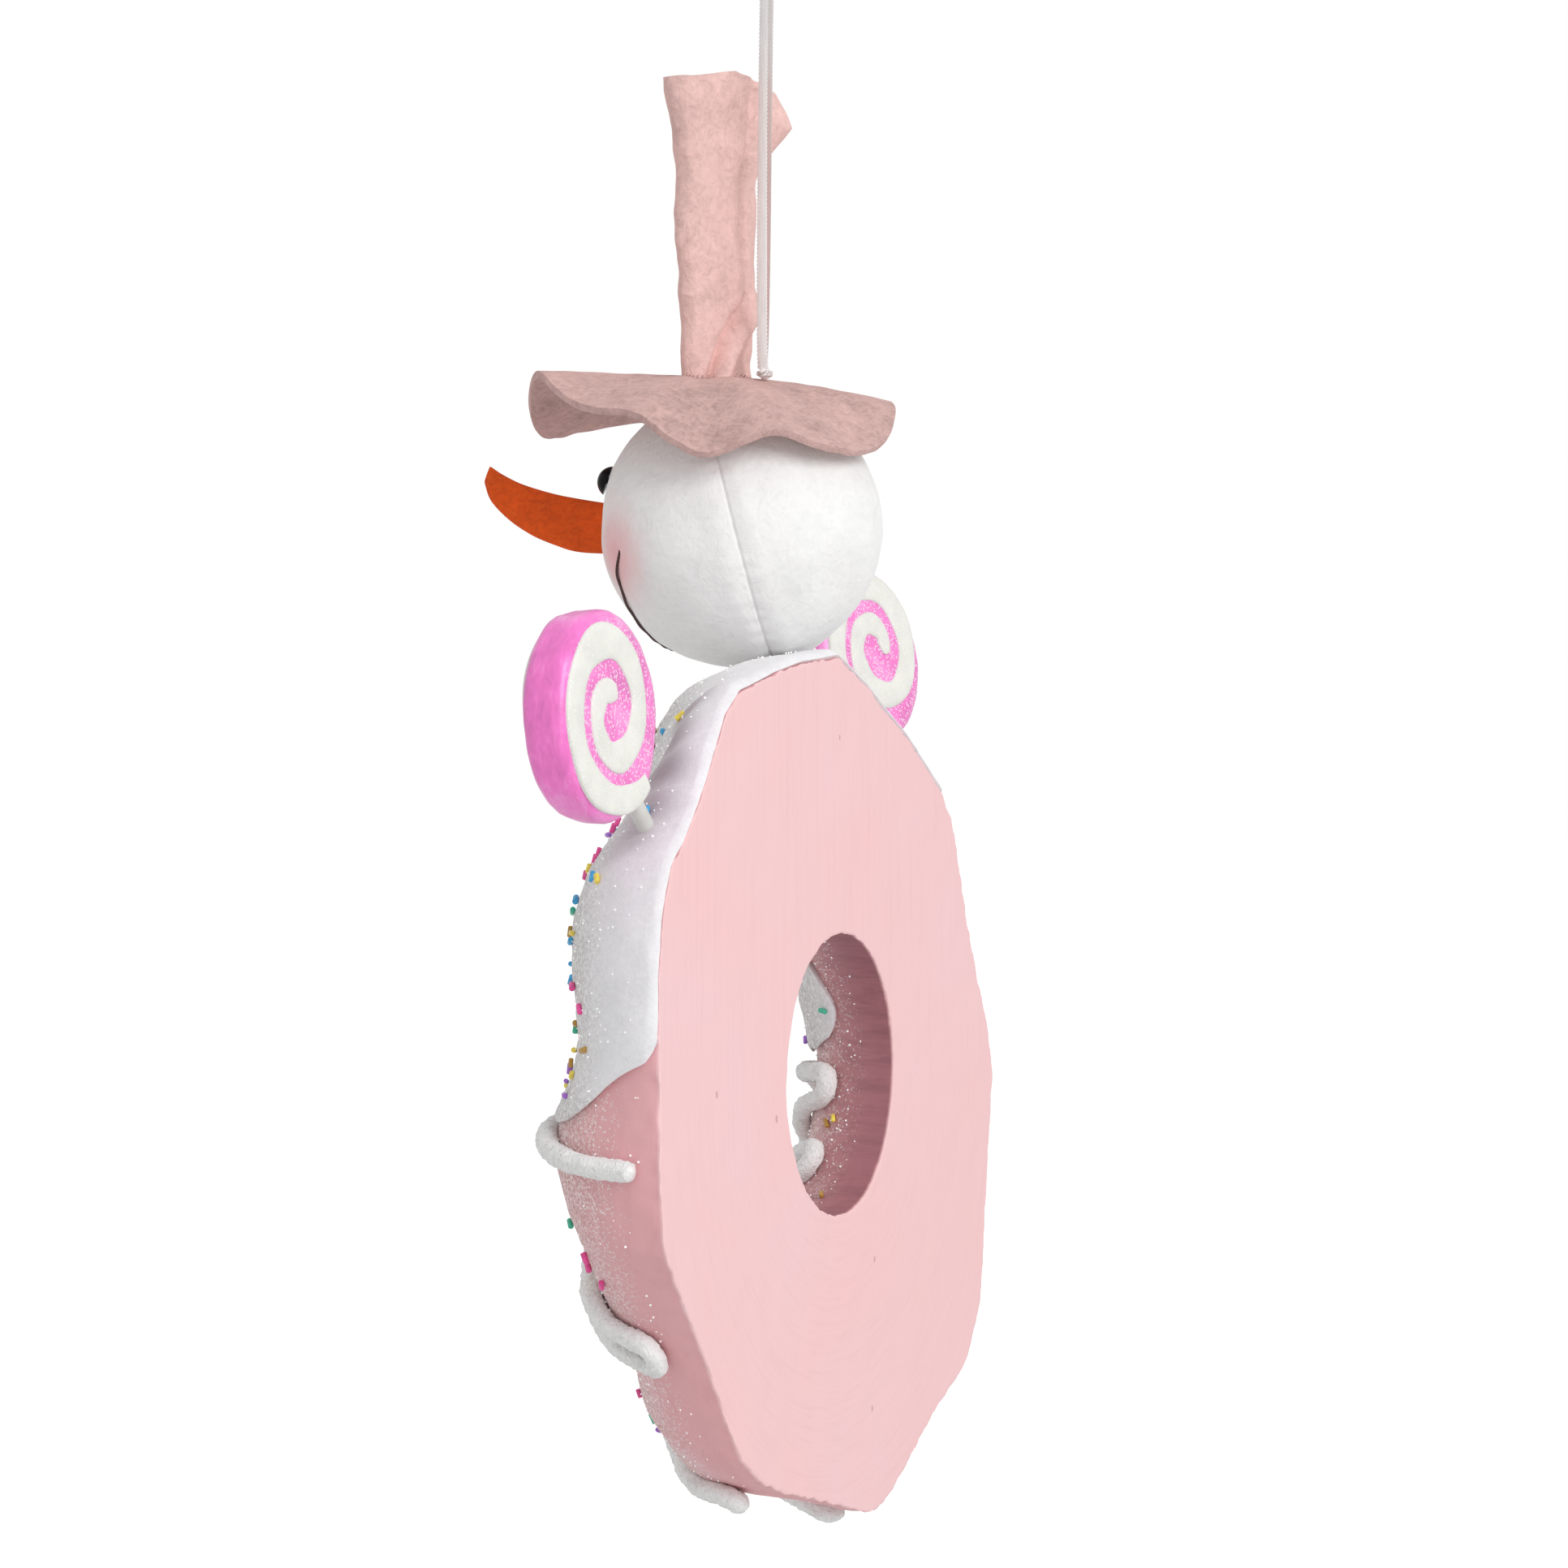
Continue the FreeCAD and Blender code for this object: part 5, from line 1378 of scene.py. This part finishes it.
# ---------------------------------------------------------------- ribbon
class SNOWMAN_OT_ribbon(bpy.types.Operator):
    """Build the satin ribbon loop, its knot and the knot's lashing"""
    bl_idname = "snowman.ribbon"
    bl_label = "Satin Ribbon"

    def route(self):
        """Points along the ribbon, read off a smooth curve."""
        data = bpy.data.curves.new("ribbon_route", "CURVE")
        data.dimensions = "3D"
        spline = data.splines.new("NURBS")
        spline.points.add(len(RIBBON_ROUTE) - 1)
        for point, place in zip(spline.points, RIBBON_ROUTE):
            point.co = tuple(value * MM for value in place) + (1.0,)
        spline.order_u = 3
        spline.use_endpoint_u = True
        data.resolution_u = 48
        holder = bpy.data.objects.new("ribbon_route", data)
        bpy.context.collection.objects.link(holder)
        mesh = bpy.data.meshes.new_from_object(holder)
        path = np.array([tuple(vertex.co) for vertex in mesh.vertices]) / MM
        bpy.data.meshes.remove(mesh)
        bpy.data.objects.remove(holder)
        return path

    def ribbon(self, satin):
        path = evenly(self.route(), 0.5)
        ahead = unit(np.gradient(path, axis=0))
        height = path[:, 2]
        side = np.where(path[:, 0] > 0, 1, -1)
        shown = np.clip((height + 104) / 95, 0, 1)
        facing = np.radians(np.where(side > 0, 92 - 22 * shown, 28 + 38 * shown))
        near_top = np.clip((height + 14) / 12, 0, 1)
        facing = facing * (1 - near_top) + math.radians(75) * near_top
        across = np.stack([np.cos(facing), np.sin(facing), 0 * facing], axis=1)
        across = unit(across - ahead * (across * ahead).sum(axis=1)[:, None])
        up = np.cross(ahead, across)
        half = size_of("ribbon_width") / 2
        # the woven edge stands out in small loops
        picot = np.where(np.arange(len(path)) % 2, half, half * 0.84)[:, None]
        section = [(-1.0, 0.0), (-0.86, 0.11), (0.0, 0.13), (0.86, 0.11), (1.0, 0.0),
                   (0.86, -0.11), (0.0, -0.13), (-0.86, -0.11), (-1.0, 0.0)]
        rings = np.array([path + across * (picot if abs(wide) == 1 else half * 0.9) * wide
                          + up * deep for wide, deep in section])
        points = rings.transpose(1, 0, 2)
        points[:, -1] = points[:, 0]
        piece = cloth_grid(capped(points))
        close_up(piece)
        smooth(piece, 50)
        dress(piece, "satin_ribbon", satin, "ribbon_loop")
        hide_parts("hanging_ribbon")

    def knot(self, satin):
        lone_start()
        bpy.ops.mesh.primitive_uv_sphere_add(segments=32, ring_count=20, radius=0.0025,
                                             location=tuple(KNOT_SEAT * MM))
        knot = bpy.context.object
        settle(knot)
        points = points_of(knot)
        away = points - KNOT_SEAT
        folds = 1 + 0.09 * np.sin(away[:, 0] * 2.6 + away[:, 2] * 1.8) - 0.05
        away = away * np.array((0.85, 0.62, 0.6)) * folds[:, None]
        move_points(knot, KNOT_SEAT + away)
        smooth(knot, 70)
        dress(knot, "ribbon_tied_knot", satin, "knot")
        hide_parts("ribbon_knot")

    def lashing(self):
        turn = np.linspace(0, 2 * math.pi * 2.6, 120)
        coil = KNOT_SEAT + np.stack([2.2 * np.cos(turn), 1.65 * np.sin(turn),
                                     -0.6 + turn * 0.07], axis=1)
        lashing = swept(coil, np.full(len(coil), 0.26), sides=8)
        smooth(lashing, 60)
        dress(lashing, "sewing_thread_lashing", thread_finish(
            "pale_thread", (0.72, 0.66, 0.65)), "lashing")
        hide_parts("knot_lashing")

    def execute(self, context):
        satin = satin_finish("white_satin", colour_of("ribbon"))
        self.ribbon(satin)
        self.knot(satin)
        self.lashing()
        return {"FINISHED"}


# ---------------------------------------------------------------- lollipops
class SNOWMAN_OT_lollipops(bpy.types.Operator):
    """Build both lollipops: painted foam candies with glitter swirls"""
    bl_idname = "snowman.lollipops"
    bl_label = "Lollipops"

    def frame_of(self, side):
        """A candy's middle, and its ways outward, sideways and through."""
        tip, direction, out, turn = STICKS[side]
        outward = np.array(direction)
        middle = np.array(tip) + outward * (STICK_BURIED + out + CANDY_RADIUS)
        sideways = unit(np.cross(outward, (0, 1, 0)))
        facing = np.cross(sideways, outward)
        turn = math.radians(turn)
        facing = facing * math.cos(turn) + np.cross(outward, facing) * math.sin(turn)
        return middle, outward, np.cross(outward, facing), facing

    def candy(self, side, material):
        middle, outward, sideways, facing = self.frame_of(side)
        lone_start()
        bpy.ops.mesh.primitive_cylinder_add(vertices=120, radius=CANDY_RADIUS * MM,
                                            depth=CANDY_THICKNESS * MM, end_fill_type="NGON")
        piece = bpy.context.object
        modify(piece, "BEVEL", width=0.0042, segments=7, limit_method="ANGLE", profile=0.6)
        only(piece)
        bpy.ops.object.mode_set(mode="EDIT")
        bpy.ops.mesh.select_all(action="DESELECT")
        bpy.ops.object.mode_set(mode="OBJECT")
        for polygon in piece.data.polygons:
            polygon.select = len(polygon.vertices) > 8
        bpy.ops.object.mode_set(mode="EDIT")
        bpy.ops.mesh.select_mode(type="FACE")
        for repeat in range(CANDY_RINGS):
            bpy.ops.mesh.inset(thickness=CANDY_RING_STEP)
        bpy.ops.object.mode_set(mode="OBJECT")
        points = points_of(piece)
        soft = 0.45 * lumps(points, 10.0, 3.0 if side == "right" else 8.0)
        fine = 0.14 * lumps(points, 3.0, 5.0)
        radius = np.hypot(points[:, 0], points[:, 1])
        rim = np.clip(radius / CANDY_RADIUS, 0, 1) ** 4
        points[:, :2] *= (1 + (soft + fine) * rim / CANDY_RADIUS)[:, None]
        points[:, 2] *= 1 + 0.02 * soft
        placed = middle + points[:, :1] * sideways + points[:, 1:2] * outward + points[
            :, 2:3] * facing
        move_points(piece, placed)
        close_up(piece)
        smooth(piece, 50)
        name = "lollipop_" + side
        dress(piece, "painted_candy_" + side, material, name)
        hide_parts(name + "_candy")

    def swirl(self, side, face, sign, material):
        middle, outward, sideways, facing = self.frame_of(side)
        half = size_of("swirl_width") / 2
        sweep = np.linspace(0, SWIRL_SWEEP, 230)
        radius = softened(np.interp(sweep, *SWIRL_RADII.T), np.ones(13))
        turn = np.radians(sweep) - math.pi / 2
        # the swirl turns the same way round on each face, as that face is seen
        spin = 1 if sign > 0 else -1
        line = np.stack([-spin * radius * np.cos(turn), radius * np.sin(turn)], axis=1)
        ahead = unit(np.gradient(line, axis=0))
        aside = np.stack([-ahead[:, 1], ahead[:, 0]], axis=1)
        along = np.arange(len(sweep)) / (len(sweep) - 1)
        width = half * (1 + 0.07 * np.sin(along * 23) + 0.05 * np.sin(along * 61))
        width *= np.interp(sweep, *SWIRL_WIDTHS.T)
        width *= np.sqrt(np.clip((1 - along) / 0.03, 0.02, 1))
        section = [(-1.0, -0.5), (-1.0, 0.12), (-0.9, 0.42), (-0.6, 0.58), (0, 0.66), (0.6, 0.58),
                   (0.9, 0.42), (1.0, 0.12), (1.0, -0.5), (0, -0.5), (-1.0, -0.5)]
        rings = []
        for wide, high in section:
            flat = line + aside * (width * wide)[:, None]
            level = sign * (CANDY_THICKNESS / 2 + high)
            rings.append(middle + flat[:, :1] * sideways + flat[:, 1:] * outward
                         + level * facing)
        piece = cloth_grid(capped(np.array(rings).transpose(1, 0, 2)))
        close_up(piece)
        smooth(piece, 60)
        name = "lollipop_" + side
        dress(piece, "glitter_swirl_%s_%s" % (side, face), material, name)
        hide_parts("%s_swirl_%s" % (name, face))

    def execute(self, context):
        pink = candy_finish("brushed_candy_pink", colour_of("candy"))
        white = glitter_finish("white_glitter_paint", colour_of("swirl"))
        for side in STICKS:
            self.candy(side, pink)
            self.swirl(side, "front", -1, white)
            self.swirl(side, "back", 1, white)
        return {"FINISHED"}


class SNOWMAN_OT_kept_parts(bpy.types.Operator):
    """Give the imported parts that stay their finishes"""
    bl_idname = "snowman.kept_parts"
    bl_label = "Kept Parts"

    def execute(self, context):
        bead = moulded_finish("black_bead", (0.004, 0.004, 0.005), 0.22, 0.4, 700.0, 0.00002, 0.0,
                              0.12)
        stick = moulded_finish("pale_stick", (0.66, 0.68, 0.63), 0.38, 0.05, 240.0, 0.00005, 0.2)
        wood = felt_finish("turned_pin", (0.55, 0.36, 0.2), contrast=0.2, sheen=0.0)
        finishes = {"eye_right": bead, "eye_left": bead, "lollipop_right_stick": stick,
                    "lollipop_left_stick": stick, "neck_pin": wood}
        for name, material in finishes.items():
            for place in bpy.data.objects[name].material_slots:
                place.material = material
        return {"FINISHED"}


# ---------------------------------------------------------------- stage
class SNOWMAN_OT_stage(bpy.types.Operator):
    """Set up the pale floor, the soft light and the camera"""
    bl_idname = "snowman.stage"
    bl_label = "Stage"

    def floor(self):
        lone_start()
        bpy.ops.mesh.primitive_circle_add(vertices=96, radius=FLOOR_RADIUS, fill_type="NGON",
                                          location=(0, 0, FLOOR_HEIGHT))
        floor = bpy.context.object
        settle(floor)
        floor.name = "pale_floor"
        floor.data.materials.append(floor_finish("pale_floor", colour_of("floor")))
        floor.visible_diffuse = False
        floor.visible_glossy = False

    def lights(self, context):
        lone_start()
        bpy.ops.object.light_add(type="AREA", location=KEY_PLACE)
        key = bpy.context.object
        key.name = "key"
        key.data.energy = KEY_POWER
        key.data.size = KEY_SIZE
        towards = Vector(LIT_MIDDLE) - Vector(KEY_PLACE)
        key.rotation_euler = towards.to_track_quat("-Z", "Y").to_euler()
        world = bpy.data.worlds.new("soft_studio")
        context.scene.world = world
        world.use_nodes = True
        sky = world.node_tree.nodes["Background"]
        sky.inputs["Color"].default_value = (1, 1, 1, 1)
        seen = node(world.node_tree, "ShaderNodeLightPath").outputs["Is Camera Ray"]
        strength = between(world.node_tree, seen, 0.0, 1.0, SKY_LIGHT, 1.0)
        world.node_tree.links.new(strength, sky.inputs["Strength"])

    def camera(self, context):
        distance = context.scene.snowman_sizes.camera_distance
        place = CAMERA_BACK * distance + CAMERA_ASIDE + Vector((0, 0, CAMERA_HEIGHT))
        bpy.ops.object.camera_add(
            location=place, rotation=(math.radians(90), 0, math.radians(CAMERA_TURN)))
        camera = bpy.context.object
        camera.data.sensor_width = 36.0
        camera.data.lens = CAMERA_LENS
        camera.data.clip_start = 0.01
        context.scene.camera = camera
        context.scene.view_settings.view_transform = "Standard"

    def execute(self, context):
        self.floor()
        self.lights(context)
        self.camera(context)
        return {"FINISHED"}


class SNOWMAN_PT_panel(bpy.types.Panel):
    bl_label = "Snowman"
    bl_idname = "SNOWMAN_PT_panel"
    bl_space_type = "VIEW_3D"
    bl_region_type = "UI"
    bl_category = "Snowman"

    def draw(self, context):
        for group in (context.scene.snowman_sizes, context.scene.snowman_colours):
            box = self.layout.box()
            for name in group.__annotations__:
                box.prop(group, name)
        for step in STEPS:
            self.layout.operator(step.bl_idname)


STEPS = (SNOWMAN_OT_ring, SNOWMAN_OT_icing, SNOWMAN_OT_rope, SNOWMAN_OT_sprinkles,
         SNOWMAN_OT_glitter, SNOWMAN_OT_head, SNOWMAN_OT_face, SNOWMAN_OT_hat,
         SNOWMAN_OT_ribbon, SNOWMAN_OT_lollipops, SNOWMAN_OT_kept_parts, SNOWMAN_OT_stage)
CLASSES = (SnowmanSizes, SnowmanColours) + STEPS + (SNOWMAN_PT_panel,)


def register():
    for item in CLASSES:
        bpy.utils.register_class(item)
    bpy.types.Scene.snowman_sizes = PointerProperty(type=SnowmanSizes)
    bpy.types.Scene.snowman_colours = PointerProperty(type=SnowmanColours)


def unregister():
    del bpy.types.Scene.snowman_colours
    del bpy.types.Scene.snowman_sizes
    for item in reversed(CLASSES):
        bpy.utils.unregister_class(item)


def main():
    register()
    for step in STEPS:
        group, name = step.bl_idname.split(".")
        getattr(getattr(bpy.ops, group), name)()


if __name__ == "__main__":
    main()
